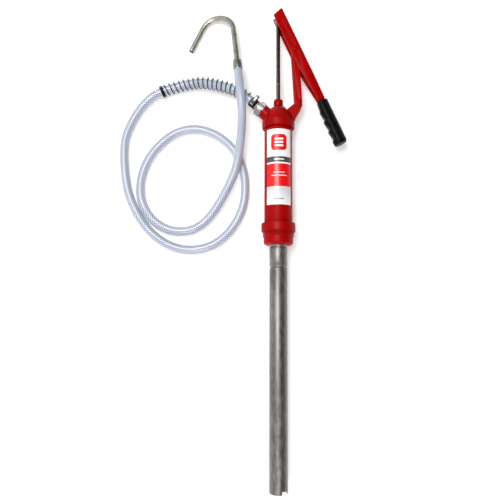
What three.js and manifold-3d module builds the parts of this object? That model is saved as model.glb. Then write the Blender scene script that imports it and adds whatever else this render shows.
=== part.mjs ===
// A hand lever pump for oil drums, with its delivery hose and hooked spout, laid flat on a floor.
//
// Frame, millimetres: +Y runs along the pump's axis from the suction tube to the lever's top,
// +X points to the lever's side and +Z points up from the floor. Everything is first built in the
// pump's own axes, where Y = 0 is the underside of the bung collar and X = Z = 0 is the pump's
// axis, and the whole is then lifted on to the floor and centred.
//
// The pump's linkage is a closed loop: head, link, lever, rod. It is opened at the rod's pin, whose
// middle part rides on the rod and whose two heads ride on the lever, with GAP between them.

import * as THREE from 'three';
import { mergeVertices } from 'three/addons/utils/BufferGeometryUtils.js';
import Module from 'manifold-3d';

const wasm = await Module();
wasm.setup();

// ---------------------------------------------------------------- driving dimensions (mm)

// Facets round a turned piece: large, middling and small
const LARGE = 28;
const MIDDLE = 20;
const SMALL = 14;

const GAP = 0.3; // between two pieces that touch
const RUNNING = 0.35; // radial play of a moving piece in its guide

// Bung adaptor, which screws into the 2 inch opening of a drum
const COLLAR_R = 32.4;
const COLLAR_HEIGHT = 16.3;
const COLLAR_CHAMFER = 1.5;
const THREAD_R = 29.8;
const THREAD_LAND_R = 29.9; // plain land between the thread and the collar
const THREAD_DEPTH = 1.15;
const THREAD_PITCH = 2.9;
const THREAD_TURNS = 3;
const PILOT_R = 28;
const PILOT_LENGTH = 24.7;
const BARREL_SEAT = 6;
const ADAPTOR_FLOOR = 3;
const ADAPTOR_PORT_R = 14;

// Barrel, the pump's cylinder
const BARREL_R = 26.75;
const BARREL_WALL = 3.5;
const BARREL_TOP = 211.7;
const GASKET_THICKNESS = 1.2;
const LABEL_BOTTOM = 48.3;
const LABEL_TOP = 193.6;
const LABEL_HALF_ANGLE = 54;
const LABEL_THICKNESS = 0.3;

// Head casting with the outlet boss and the bracket arm
const CAP_R = 31.15;
const CAP_BOTTOM = 201.5;
const CAP_TOP = 216.5;
const DOME_TOP = 246.2;
const DOME_TOP_R = 9.3;
const PACKING_SEAT = 238;
const PACKING_R = 7;
const PACKING_LENGTH = 4.6;
const ROD_GUIDE_LENGTH = 3.5;
const GLAND_NUT_R = 8.95;
const GLAND_NUT_TOP = 260.2;

const OUTLET_CROSSING = 210.5; // where the outlet's axis meets the pump's axis
const OUTLET_TILT = 48; // degrees from +Y towards -X
const BOSS_R = 13.2;
const BOSS_FACE = 38.6; // along the outlet's axis, from the pump's axis
const STUB_R = 10.2;
const STUB_LENGTH = 8;
const OUTLET_BORE_R = 5.5;

// Hose tail, union nut and clamp, along the outlet's axis
const NUT_ACROSS_FLATS = 27;
const NUT_LENGTH = 14;
const NUT_WALL = 2.4;
const TAIL_FLANGE = 1.8;
const TAIL_SHANK_R = 6.5;
const TAIL_BORE_R = 4;
const BARB_R = 5.4;
const BARB_LENGTH = 24;
const HOSE_START = 16; // from the boss face
const CLAMP_START = 18;
const CLAMP_WIDTH = 14;
const CLAMP_WALL = 1;
const CLAMP_LIP = 0.6;
const CLAMP_HOUSING = [17, 8.5, 6]; // across the hose, along it, and high
const CLAMP_SHANK_R = 2.4;
const CLAMP_HEAD_R = 3.9;
const CLAMP_HEAD_LENGTH = 4;

// Suction tube, 1 inch pipe
const TUBE_R = 16.85;
const TUBE_WALL = 2;
const TUBE_END = -471.5;
const TUBE_TOP = 2.2;
const GROOVE_DEPTH = 1.3;
const GROOVE_HALF_WIDTH = 2.4;
const GROOVES = [-28.6, -66.2];
const NIPPLE_BOTTOM = -76;
const NIPPLE_WALL = 2.5;
const NOTCH_ANGLE = 48; // from +Z towards +X
const NOTCH_HALF_SPAN = 30;
const NOTCH_HEIGHT = 6;

// Foot valve inside the suction tube
const SEAT_BOTTOM = -404;
const SEAT_TOP = -396;
const SEAT_PORT_R = 7;
const BALL_R = 9;
const BALL_LIFT = 8;
const CAGE_WALL = 2.6;
const CAGE_BAR = 3;

// Piston rod and piston
const ROD_R = 4;
const ROD_BOTTOM = 161;
const PISTON_BOTTOM = 168.5;
const PISTON_LENGTH = 9;
const PISTON_PLAY = 0.65;
const PISTON_PORTS = 6;
const PISTON_PORT_R = 2.6;
const PISTON_PORT_CIRCLE = 12;
const SEAL_LENGTH = 4.4;
const SEAL_DEPTH = 3.3;
const SEAL_PLAY = 0.3;
const VALVE_R = 16.5;
const VALVE_THICKNESS = 1.5;
const VALVE_LIFT = 3;
const STOP_R = 12;
const STOP_THICKNESS = 1.8;
const PISTON_NUT_ACROSS = 13;
const PISTON_NUT_LENGTH = 6.5;

// Linkage: pivots in the pump's axes, and the stack of plates along Z
const BRACKET_PIVOT = [38.6, 254];
const LEVER_PIVOT = [32.1, 362];
const ROD_PIVOT = [0, 425];
const EAR_HALF = 6;
const EAR_R = 7;
const SHEET = 2.5; // the lever's and the link's sheet steel
const LINK_R = 7.45;
const LINK_WEB_START = 12.5;
const PIN_R = 4;
const PIN_HEAD_R = 5.6;
const PIN_HEAD = 1.2;
const ROD_EYE_R = 6.5;
const ROD_EYE_HALF = 7;
const LINK_INNER = EAR_HALF + GAP;
const LINK_OUTER = LINK_INNER + SHEET;
const LEVER_INNER = LINK_OUTER + GAP;
const LEVER_OUTER = LEVER_INNER + SHEET;

// Lever, in its own axes: U from its pivot along it to the grip, V square to it, away from the rod
const LEVER_ANGLE = 24.35; // from the pump's axis, degrees
const LEVER_BACK = 11.1;
const LEVER_FRONT = -10.1;
const LEVER_TAPER_START = 40;
const LEVER_NARROWS_FROM = 62;
const LEVER_MOUTH = 113.5;
const LEVER_MOUTH_FRONT = -2.4;
const TAIL_END = 198;
const TAIL_BACK = 10;
const TAIL_FRONT = -2;
const TAIL_HALF = 7.6;
const GRIP_START = 116;
const GRIP_LENGTH = 93.5;
const GRIP_BACK = 16.3;
const GRIP_HALF = 13.2;

// The grip's finger side: distance from its mouth, and how far it stands out there
const GRIP_FRONT = [
  [0, 5.2],
  [16, 6.7],
  [20.7, 8.5],
  [37, 6.6],
  [42.2, 9.8],
  [58.1, 7],
  [62.9, 9.8],
  [78.5, 7.5],
  [84, 10.2],
];

// Hose, spring guard and spout
const HOSE_R = 8.5;
const HOSE_BORE_R = 6.25;
const HOSE_STEPS = 70;
const HOSE_SIDES = 8;
const SPRING_R = 12;
const SPRING_WIRE = 2;
const SPRING_START = 24; // along the hose
const SPRING_LENGTH = 186;
const SPRING_STEPS = 14;
const SPOUT_COLLAR_R = 9;
const SPOUT_COLLAR_LENGTH = 21;
const SPOUT_BARB_LENGTH = 28;
const SPOUT_TUBE_R = 5.5;
const SPOUT_TUBE_WALL = 1;
const SPOUT_SOCKET = 12;
const SPOUT_SLOPE = 0.37;
const SPOUT_LEG_TOP = [-150.4, 420.8];
const SPOUT_TIP = [-173.9, 371.4];
const SPOUT_BEND_CENTRE = [-121.1, 406];
const SPOUT_BEND_R = 32.8;
const SPOUT_BEND_FROM = 5.7;
const SPOUT_BEND_TO = 154.5;
const SPOUT_STEPS = 24;

// The hose's centreline past the spring guard's first turns: X, Y and height above the floor
const HOSE_ROUTE = [
  [-84, 280.5, 30.4],
  [-145, 299, 21],
  [-180, 298, 15.6],
  [-241, 278.5, 12.3],
  [-266, 257, 10.2],
  [-288, 222, 9],
  [-301, 180, 8.9],
  [-293.5, 90, 8.9],
  [-275, 43, 8.9],
  [-245, 2, 8.9],
  [-205, -24.5, 8.9],
  [-164, -31.5, 8.9],
  [-123, -20.5, 8.9],
  [-90, 9, 8.9],
  [-69.5, 48, 8.9],
  [-63.5, 90, 8.9],
  [-69.5, 132, 8.9],
  [-88, 168, 8.9],
  [-120, 196, 8.9],
  [-160, 208.5, 8.9],
  [-199, 201, 8.9],
  [-234, 173.5, 8.9],
  [-258, 137, 8.9],
  [-267.4, 95, 8.9],
  [-262.3, 58.4, 8.9],
  [-239.3, 24.7, 8.9],
  [-204.6, 6.3, 8.9],
  [-165, 8, 9.6],
  [-131, 33.5, 12.4],
  [-86.5, 112, 22.6],
  [-76.6, 150, 28.8],
  [-71.6, 190, 39.2],
  [-70.4, 226, 49.6],
  [-72.4, 258, 55.2],
];

// ---------------------------------------------------------------- materials

const paint = (color, roughness, metalness) =>
  new THREE.MeshStandardMaterial({ color, roughness, metalness });

const castRed = () => paint(0xa50000, 0.42, 0.1);
const sheetRed = () => paint(0xa80000, 0.38, 0.1);
const zincSteel = () => paint(0xafa29d, 0.35, 0.9);
const brightSteel = () => paint(0x8f8a86, 0.25, 0.95);
const tubeSteel = () => paint(0x787674, 0.5, 0.85);
const blackPlastic = () => paint(0x08080a, 0.45, 0);
const rubber = () => paint(0x1c1c1e, 0.7, 0);
const brass = () => paint(0xb09050, 0.35, 0.9);
const clearHose = () => paint(0xb2bacd, 0.35, 0);
const springSteel = () => paint(0x34363e, 0.35, 0.85);

// ---------------------------------------------------------------- solids

const radians = THREE.MathUtils.degToRad;
const WELD = 1e-4;

// A closed geometry as a solid, with shared vertices merged and collapsed triangles dropped
function solid(geometry) {
  const bare = geometry.clone();
  bare.deleteAttribute('normal');
  bare.deleteAttribute('uv');
  const merged = mergeVertices(bare, WELD);
  const corners = Array.from(merged.index.array);
  const triangles = [];
  for (let i = 0; i < corners.length; i += 3) {
    const [a, b, c] = corners.slice(i, i + 3);
    if (a !== b && b !== c && c !== a) triangles.push(a, b, c);
  }
  return new wasm.Manifold(
    new wasm.Mesh({
      numProp: 3,
      vertProperties: merged.attributes.position.array,
      triVerts: Uint32Array.from(triangles),
    }),
  );
}

function surface(made) {
  const mesh = made.getMesh();
  const geometry = new THREE.BufferGeometry();
  geometry.setAttribute('position', new THREE.BufferAttribute(mesh.vertProperties, 3));
  geometry.setIndex(new THREE.BufferAttribute(mesh.triVerts, 1));
  geometry.computeVertexNormals();
  return geometry;
}

// A solid turned about Y. The profile's points are [radius, y], up the outside first.
function turned(profile, segments) {
  const points = profile.map(([r, y]) => new THREE.Vector2(r, y));
  return solid(new THREE.LatheGeometry(points, segments));
}

// A ring or a bush about Y
function ring(inner, outer, from, to, segments) {
  return turned([[inner, from], [outer, from], [outer, to], [inner, to], [inner, from]], segments);
}

// A full round bar about Y
function bar(radius, from, to, segments) {
  return turned([[0, from], [radius, from], [radius, to], [0, to]], segments);
}

// A plate with an outline in X and Y, between two heights
function plate(outline, low, high) {
  const shape = new THREE.Shape(outline.map(([x, y]) => new THREE.Vector2(x, y)));
  const geometry = new THREE.ExtrudeGeometry(shape, { depth: high - low, bevelEnabled: false });
  geometry.translate(0, 0, low);
  return solid(geometry);
}

// A round bar along Z through (x, y)
function pinAt([x, y], radius, low, high, segments) {
  const geometry = new THREE.CylinderGeometry(radius, radius, high - low, segments);
  geometry.rotateX(Math.PI / 2);
  geometry.translate(x, y, (low + high) / 2);
  return solid(geometry);
}

function box(width, height, depth, x, y, z) {
  const geometry = new THREE.BoxGeometry(width, height, depth);
  geometry.translate(x, y, z);
  return solid(geometry);
}

// A hexagon about Y, with flats across the given distance, and its corners turned down
function hexagon(across, from, to) {
  const corner = across / Math.sqrt(3);
  const down = (corner - across / 2) * 0.6;
  const prism = turned([[0, from], [corner, from], [corner, to], [0, to]], 6);
  const cone = turned(
    [[0, from], [across / 2, from], [corner, from + down], [corner, to - down], [across / 2, to], [0, to]],
    MIDDLE,
  );
  return prism.intersect(cone);
}

// Points of an arc about a centre, angles in degrees
function arc([x, y], radius, from, to, steps) {
  return Array.from({ length: steps + 1 }, (_, i) => {
    const angle = radians(from + ((to - from) * i) / steps);
    return [x + radius * Math.cos(angle), y + radius * Math.sin(angle)];
  });
}

// A tube or a bar swept along a curve
function swept(curve, outer, inner, sides, steps) {
  const last = 360 - 360 / sides;
  const circle = (radius, from, to) =>
    arc([0, 0], radius, from, to, sides - 1).map(([x, y]) => new THREE.Vector2(x, y));
  const shape = new THREE.Shape(circle(outer, 0, last));
  if (inner > 0) shape.holes.push(new THREE.Path(circle(inner, last, 0)));
  const options = { steps, extrudePath: curve, bevelEnabled: false };
  return solid(new THREE.ExtrudeGeometry(shape, options));
}

// ---------------------------------------------------------------- scene graph

const model = new THREE.Group();
const pump = new THREE.Group(); // in the pump's axes
const outlet = new THREE.Group(); // Y along the outlet's axis
const linkage = new THREE.Group(); // Y from the bracket's pivot to the lever's
const leverGroup = new THREE.Group(); // X along the lever to the grip, Y away from the rod
model.add(pump);
pump.add(outlet, linkage, leverGroup);

outlet.position.set(0, OUTLET_CROSSING, 0);
outlet.rotation.z = radians(OUTLET_TILT);

const linkVector = new THREE.Vector2(
  LEVER_PIVOT[0] - BRACKET_PIVOT[0],
  LEVER_PIVOT[1] - BRACKET_PIVOT[1],
);
const LINK_LENGTH = linkVector.length();
linkage.position.set(BRACKET_PIVOT[0], BRACKET_PIVOT[1], 0);
linkage.rotation.z = linkVector.angle() - Math.PI / 2;

leverGroup.position.set(LEVER_PIVOT[0], LEVER_PIVOT[1], 0);
leverGroup.rotation.z = radians(LEVER_ANGLE - 90);

function piece(name, made, material, parent) {
  const mesh = new THREE.Mesh(surface(made), material);
  mesh.name = name;
  parent.add(mesh);
  return mesh;
}

// ---------------------------------------------------------------- bung adaptor and barrel

function bungAdaptor() {
  const seatR = BARREL_R + GAP;
  const ridges = [];
  for (let turn = 0; turn < THREAD_TURNS; turn += 1) {
    const y = -1 - (THREAD_TURNS - turn) * THREAD_PITCH;
    ridges.push([THREAD_R - THREAD_DEPTH, y], [THREAD_R, y + THREAD_PITCH / 2]);
  }
  const tubeSeat = TUBE_R + GAP;
  return turned(
    [
      [tubeSeat, -PILOT_LENGTH],
      [PILOT_R - 3, -PILOT_LENGTH],
      [PILOT_R - 0.9, -PILOT_LENGTH + 0.9],
      [PILOT_R, -PILOT_LENGTH + 3],
      [PILOT_R, -1.6 - THREAD_TURNS * THREAD_PITCH],
      ...ridges,
      [THREAD_LAND_R, -1],
      [THREAD_LAND_R, 0],
      [COLLAR_R, 0],
      [COLLAR_R, COLLAR_HEIGHT - COLLAR_CHAMFER],
      [COLLAR_R - COLLAR_CHAMFER, COLLAR_HEIGHT],
      [seatR, COLLAR_HEIGHT],
      [seatR, BARREL_SEAT],
      [ADAPTOR_PORT_R, BARREL_SEAT],
      [ADAPTOR_PORT_R, ADAPTOR_FLOOR],
      [tubeSeat, ADAPTOR_FLOOR],
      [tubeSeat, -PILOT_LENGTH],
    ],
    LARGE,
  );
}

const BARREL_BORE = BARREL_R - BARREL_WALL;
const BARREL_BOTTOM = BARREL_SEAT + GASKET_THICKNESS + 2 * GAP;

piece('bung_adaptor', bungAdaptor(), castRed(), pump);
piece('barrel', ring(BARREL_BORE, BARREL_R, BARREL_BOTTOM, BARREL_TOP, LARGE), castRed(), pump);
piece(
  'base_gasket',
  ring(BARREL_BORE, BARREL_R, BARREL_SEAT + GAP, BARREL_SEAT + GAP + GASKET_THICKNESS, MIDDLE),
  rubber(),
  pump,
);
piece(
  'head_gasket',
  ring(BARREL_BORE, BARREL_R, BARREL_TOP + GAP, BARREL_TOP + GAP + GASKET_THICKNESS, MIDDLE),
  rubber(),
  pump,
);

function label() {
  const inner = BARREL_R + GAP;
  const from = -90 - LABEL_HALF_ANGLE;
  const to = -90 + LABEL_HALF_ANGLE;
  const outline = [
    ...arc([0, 0], inner + LABEL_THICKNESS, from, to, 18),
    ...arc([0, 0], inner, to, from, 18),
  ];
  const shape = new THREE.Shape(outline.map(([x, y]) => new THREE.Vector2(x, y)));
  const depth = LABEL_TOP - LABEL_BOTTOM;
  const geometry = new THREE.ExtrudeGeometry(shape, { depth, bevelEnabled: false });
  geometry.rotateX(-Math.PI / 2);
  geometry.translate(0, LABEL_BOTTOM, 0);
  return solid(geometry);
}

piece('label', label(), paint(0xf0f0f0, 0.4, 0), pump);

// ---------------------------------------------------------------- head, gland and outlet boss

const HEAD_RECESS_TOP = BARREL_TOP + GASKET_THICKNESS + 2 * GAP;

// What is empty inside the head, below the rod's guide
function headChamber() {
  const seatR = BARREL_R + GAP;
  const guideBottom = PACKING_SEAT - ROD_GUIDE_LENGTH;
  return turned(
    [
      [0, CAP_BOTTOM - 1],
      [seatR, CAP_BOTTOM - 1],
      [seatR, HEAD_RECESS_TOP],
      [BARREL_BORE - 0.8, HEAD_RECESS_TOP],
      [BARREL_BORE - 0.8, CAP_TOP + 2.5],
      [19.5, 226.5],
      [13.5, guideBottom],
      [0, guideBottom],
    ],
    LARGE,
  );
}

// The arm that carries the link, from the dome to the ear round its pivot
function bracketArm() {
  return [
    [12, 230],
    [13, 241],
    [31.6, 252.4],
    ...arc(BRACKET_PIVOT, EAR_R, 165, -12, 10),
    [46.8, 249.6],
    [43, 239.8],
    [33.6, 223],
    [30.8, CAP_TOP - 2.5],
    [20, CAP_TOP - 4],
  ];
}

function onOutletAxis(made) {
  const turn = new THREE.Matrix4().makeRotationZ(radians(OUTLET_TILT));
  turn.setPosition(0, OUTLET_CROSSING, 0);
  const geometry = surface(made);
  geometry.applyMatrix4(turn);
  return solid(geometry);
}

function pumpHead() {
  const dome = turned(
    [
      [0, CAP_BOTTOM],
      [CAP_R - 0.6, CAP_BOTTOM],
      [CAP_R, CAP_BOTTOM + 0.8],
      [CAP_R, CAP_TOP - 1.2],
      [CAP_R - 1.2, CAP_TOP],
      [28, CAP_TOP],
      [27.6, 220],
      [26.3, 225],
      [24, 230],
      [20.9, 235],
      [17.2, 239.7],
      [13, 243.6],
      [DOME_TOP_R, DOME_TOP],
      [0, DOME_TOP],
    ],
    LARGE,
  );
  const boss = onOutletAxis(
    turned(
      [[0, 18], [BOSS_R, 18], [BOSS_R, BOSS_FACE - 0.6], [BOSS_R - 0.6, BOSS_FACE], [0, BOSS_FACE]],
      MIDDLE,
    ),
  );
  const stub = onOutletAxis(bar(STUB_R, BOSS_FACE - 1, BOSS_FACE + STUB_LENGTH, 24));
  const outletBore = onOutletAxis(bar(OUTLET_BORE_R, 10, BOSS_FACE + STUB_LENGTH + 1, 16));
  const arm = plate(bracketArm(), -EAR_HALF, EAR_HALF);
  const pivotHole = pinAt(BRACKET_PIVOT, PIN_R + GAP, -EAR_HALF - 1, EAR_HALF + 1, SMALL);
  const packingBore = bar(PACKING_R, PACKING_SEAT, DOME_TOP + 1, SMALL);
  const rodHole = bar(ROD_R + RUNNING, PACKING_SEAT - 10, PACKING_SEAT + 1, SMALL);
  return dome
    .add(boss)
    .add(stub)
    .add(arm)
    .subtract(headChamber())
    .subtract(outletBore)
    .subtract(packingBore)
    .subtract(rodHole)
    .subtract(pivotHole);
}

piece('pump_head', pumpHead(), castRed(), pump);

const packingBottom = PACKING_SEAT + GAP;
const glandSpigot = packingBottom + PACKING_LENGTH + GAP;
piece(
  'gland_packing',
  ring(ROD_R + RUNNING, PACKING_R - GAP, packingBottom, packingBottom + PACKING_LENGTH, SMALL),
  rubber(),
  pump,
);

function glandNut() {
  const bore = ROD_R + RUNNING;
  const seat = DOME_TOP + GAP;
  return turned(
    [
      [bore, glandSpigot],
      [PACKING_R - GAP, glandSpigot],
      [PACKING_R - GAP, seat],
      [GLAND_NUT_R - 0.5, seat],
      [GLAND_NUT_R, seat + 0.5],
      [GLAND_NUT_R, GLAND_NUT_TOP - 2.6],
      [GLAND_NUT_R - 0.9, GLAND_NUT_TOP - 0.8],
      [GLAND_NUT_R - 2.6, GLAND_NUT_TOP],
      [bore, GLAND_NUT_TOP],
      [bore, glandSpigot],
    ],
    MIDDLE,
  );
}

piece('gland_nut', glandNut(), castRed(), pump);

// ---------------------------------------------------------------- outlet union and hose clamp

const WASHER_THICKNESS = 1.2;
const washerFrom = BOSS_FACE + STUB_LENGTH + GAP;
const tailFrom = washerFrom + WASHER_THICKNESS + GAP;
const tailShank = tailFrom + TAIL_FLANGE;

piece(
  'outlet_washer',
  ring(OUTLET_BORE_R + 0.5, STUB_R - GAP, washerFrom, washerFrom + WASHER_THICKNESS, MIDDLE),
  rubber(),
  outlet,
);

// The nut's inner shoulder bears on the hose tail's flange
function unionNut() {
  const from = BOSS_FACE + GAP;
  const to = BOSS_FACE + NUT_LENGTH;
  const threadBore = bar(STUB_R + GAP, from - 1, to - NUT_WALL, MIDDLE);
  const tailBore = bar(TAIL_SHANK_R + GAP, from - 1, to + 1, SMALL);
  return hexagon(NUT_ACROSS_FLATS, from, to).subtract(threadBore).subtract(tailBore);
}

piece('union_nut', unionNut(), zincSteel(), outlet);

function hoseTail() {
  const hoseFace = BOSS_FACE + HOSE_START;
  const end = hoseFace + BARB_LENGTH;
  const barbs = [];
  const count = 4;
  const step = BARB_LENGTH / count;
  for (let i = 0; i < count; i += 1) {
    barbs.push([BARB_R, hoseFace + i * step + 0.4], [BARB_R - 0.8, hoseFace + (i + 1) * step]);
  }
  return turned(
    [
      [TAIL_BORE_R, tailFrom],
      [STUB_R - GAP, tailFrom],
      [STUB_R - GAP, tailShank],
      [TAIL_SHANK_R, tailShank],
      [TAIL_SHANK_R, hoseFace - GAP],
      [BARB_R, hoseFace - GAP],
      ...barbs,
      [TAIL_BORE_R, end],
      [TAIL_BORE_R, tailFrom],
    ],
    SMALL,
  );
}

piece('hose_tail', hoseTail(), zincSteel(), outlet);

const bandInner = HOSE_R + GAP;
const bandOuter = bandInner + CLAMP_WALL;
const bandFrom = BOSS_FACE + CLAMP_START;
const bandTo = bandFrom + CLAMP_WIDTH;

// A worm drive clamp's band, with rolled edges
function clampBand() {
  return turned(
    [
      [bandInner, bandFrom],
      [bandOuter + CLAMP_LIP, bandFrom],
      [bandOuter, bandFrom + 1.4],
      [bandOuter, bandTo - 1.4],
      [bandOuter + CLAMP_LIP, bandTo],
      [bandInner, bandTo],
      [bandInner, bandFrom],
    ],
    MIDDLE,
  );
}

const housingLow = bandOuter + CLAMP_LIP + GAP;
const housingMiddle = (bandFrom + bandTo) / 2;
const screwHeight = housingLow + CLAMP_HOUSING[2] / 2;

function clampHousing() {
  const [across, along, high] = CLAMP_HOUSING;
  const shell = box(across, along, high, 0, housingMiddle, housingLow + high / 2);
  const bore = CLAMP_SHANK_R + GAP;
  const geometry = new THREE.CylinderGeometry(bore, bore, across + 2, SMALL);
  geometry.rotateZ(Math.PI / 2);
  geometry.translate(0, housingMiddle, screwHeight);
  return shell.subtract(solid(geometry));
}

// The worm screw lies across the hose, with its hexagon head on the +X side
function clampScrew() {
  const [across] = CLAMP_HOUSING;
  const shank = bar(CLAMP_SHANK_R, -across / 2, across / 2 + GAP + 0.5, SMALL);
  const head = turned(
    [
      [0, across / 2 + GAP],
      [CLAMP_HEAD_R, across / 2 + GAP],
      [CLAMP_HEAD_R, across / 2 + GAP + CLAMP_HEAD_LENGTH],
      [0, across / 2 + GAP + CLAMP_HEAD_LENGTH],
    ],
    6,
  );
  const geometry = surface(shank.add(head));
  geometry.rotateZ(Math.PI / 2);
  geometry.translate(0, housingMiddle, screwHeight);
  return solid(geometry);
}

piece('clamp_band', clampBand(), springSteel(), outlet);
piece('clamp_housing', clampHousing(), zincSteel(), outlet);
piece('clamp_screw', clampScrew(), zincSteel(), outlet);

// ---------------------------------------------------------------- suction tube and foot valve

const TUBE_BORE = TUBE_R - TUBE_WALL;

// Points down or up a wall of a given radius, pressed in at each rolled groove
function grooved(radius, from, to) {
  const points = [[radius, from]];
  const upward = to > from;
  const order = [...GROOVES].sort((a, b) => (upward ? a - b : b - a));
  for (const middle of order) {
    const inside = upward ? middle > from && middle < to : middle < from && middle > to;
    if (!inside) continue;
    const step = upward ? 1 : -1;
    points.push([radius, middle - step * GROOVE_HALF_WIDTH]);
    points.push([radius - GROOVE_DEPTH, middle - step * 0.7]);
    points.push([radius - GROOVE_DEPTH, middle + step * 0.7]);
    points.push([radius, middle + step * GROOVE_HALF_WIDTH]);
  }
  points.push([radius, to]);
  return points;
}

function suctionTube() {
  const outer = grooved(TUBE_R, TUBE_END, TUBE_TOP);
  const wall = turned([...outer, ...grooved(TUBE_BORE, TUBE_TOP, TUBE_END), outer[0]], LARGE);
  const width = 2 * TUBE_R * Math.sin(radians(NOTCH_HALF_SPAN));
  const geometry = new THREE.BoxGeometry(width, 2 * NOTCH_HEIGHT, 3 * TUBE_R);
  geometry.rotateY(radians(NOTCH_ANGLE));
  geometry.translate(0, TUBE_END, 0);
  return wall.subtract(solid(geometry));
}

function tubeNipple() {
  const radius = TUBE_BORE - GAP;
  const outer = grooved(radius, NIPPLE_BOTTOM, TUBE_TOP);
  const bore = radius - NIPPLE_WALL;
  return turned([[bore, NIPPLE_BOTTOM], ...outer, [bore, TUBE_TOP], [bore, NIPPLE_BOTTOM]], MIDDLE);
}

piece('suction_tube', suctionTube(), tubeSteel(), pump);
piece('tube_nipple', tubeNipple(), tubeSteel(), pump);

const seatR = TUBE_BORE - GAP;
const ballCentre = SEAT_TOP + Math.sqrt(BALL_R ** 2 - SEAT_PORT_R ** 2) + GAP;

piece('foot_valve_seat', ring(SEAT_PORT_R, seatR, SEAT_BOTTOM, SEAT_TOP, MIDDLE), brass(), pump);

const ball = piece(
  'foot_valve_ball',
  solid(new THREE.SphereGeometry(BALL_R, SMALL, 10)),
  brightSteel(),
  pump,
);
ball.position.set(0, ballCentre, 0);

// A ring round the ball with a bar across its top, which stops the ball's lift
function footValveCage() {
  const barLow = ballCentre + BALL_R + BALL_LIFT + GAP;
  const wall = ring(seatR - CAGE_WALL, seatR, SEAT_TOP + GAP, barLow + CAGE_BAR, MIDDLE);
  const reach = 2 * (seatR - CAGE_WALL / 2);
  return wall.add(box(reach, CAGE_BAR, CAGE_BAR, 0, barLow + CAGE_BAR / 2, 0));
}

piece('foot_valve_cage', footValveCage(), brass(), pump);

// ---------------------------------------------------------------- piston and rod

const rodBore = ROD_R + GAP;
const pistonR = BARREL_BORE - PISTON_PLAY;
const pistonTop = PISTON_BOTTOM + PISTON_LENGTH;
const sealFrom = PISTON_BOTTOM + (PISTON_LENGTH - SEAL_LENGTH) / 2;
const valveFrom = pistonTop + GAP;
const stopFrom = valveFrom + VALVE_THICKNESS + VALVE_LIFT + GAP;

function pistonRod() {
  const shank = bar(ROD_R, ROD_BOTTOM, ROD_PIVOT[1] - ROD_EYE_R + 2, MIDDLE);
  const eye = pinAt(ROD_PIVOT, ROD_EYE_R, -ROD_EYE_HALF, ROD_EYE_HALF, MIDDLE);
  const hole = pinAt(ROD_PIVOT, PIN_R + GAP, -ROD_EYE_HALF - 1, ROD_EYE_HALF + 1, SMALL);
  return shank.add(eye).subtract(hole);
}

// The piston body has a groove for its seal and a ring of ports, which the valve disc covers
function pistonBody() {
  const grooveR = pistonR - SEAL_DEPTH - GAP;
  const body = turned(
    [
      [rodBore, PISTON_BOTTOM],
      [pistonR, PISTON_BOTTOM],
      [pistonR, sealFrom - GAP],
      [grooveR, sealFrom - GAP],
      [grooveR, sealFrom + SEAL_LENGTH + GAP],
      [pistonR, sealFrom + SEAL_LENGTH + GAP],
      [pistonR, pistonTop],
      [rodBore, pistonTop],
      [rodBore, PISTON_BOTTOM],
    ],
    MIDDLE,
  );
  return Array.from({ length: PISTON_PORTS }, (_, i) => (2 * Math.PI * i) / PISTON_PORTS).reduce(
    (rest, angle) => {
      const geometry = new THREE.CylinderGeometry(PISTON_PORT_R, PISTON_PORT_R, PISTON_LENGTH + 2, 10);
      geometry.translate(
        PISTON_PORT_CIRCLE * Math.cos(angle),
        PISTON_BOTTOM + PISTON_LENGTH / 2,
        PISTON_PORT_CIRCLE * Math.sin(angle),
      );
      return rest.subtract(solid(geometry));
    },
    body,
  );
}

const sealOuter = BARREL_BORE - SEAL_PLAY;
const valveGuide = ROD_R + RUNNING;
const nutTop = PISTON_BOTTOM - GAP;

piece('piston_rod', pistonRod(), brightSteel(), pump);
piece('piston_body', pistonBody(), brass(), pump);
piece(
  'piston_seal',
  ring(pistonR - SEAL_DEPTH, sealOuter, sealFrom, sealFrom + SEAL_LENGTH, MIDDLE),
  rubber(),
  pump,
);
piece(
  'piston_valve_disc',
  ring(valveGuide, VALVE_R, valveFrom, valveFrom + VALVE_THICKNESS, MIDDLE),
  brightSteel(),
  pump,
);
piece('valve_stop', ring(rodBore, STOP_R, stopFrom, stopFrom + STOP_THICKNESS, MIDDLE), brightSteel(), pump);
piece(
  'piston_nut',
  hexagon(PISTON_NUT_ACROSS, nutTop - PISTON_NUT_LENGTH, nutTop).subtract(
    bar(rodBore, nutTop - PISTON_NUT_LENGTH - 1, nutTop + 1, SMALL),
  ),
  zincSteel(),
  pump,
);
piece(
  'rod_pin',
  pinAt(ROD_PIVOT, PIN_R, -LEVER_INNER + GAP, LEVER_INNER - GAP, SMALL),
  brightSteel(),
  pump,
);

// ---------------------------------------------------------------- link and its lower pin

// A headed pin along Z, its heads just outside the given half width
function headedPin(half) {
  const inner = half + GAP;
  const geometry = surface(
    turned(
      [
        [0, -inner - PIN_HEAD],
        [PIN_HEAD_R - 0.8, -inner - PIN_HEAD],
        [PIN_HEAD_R, -inner - PIN_HEAD / 2],
        [PIN_HEAD_R, -inner],
        [PIN_R, -inner],
        [PIN_R, inner],
        [PIN_HEAD_R, inner],
        [PIN_HEAD_R, inner + PIN_HEAD / 2],
        [PIN_HEAD_R - 0.8, inner + PIN_HEAD],
        [0, inner + PIN_HEAD],
      ],
      SMALL,
    ),
  );
  geometry.rotateX(Math.PI / 2);
  return solid(geometry);
}

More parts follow.
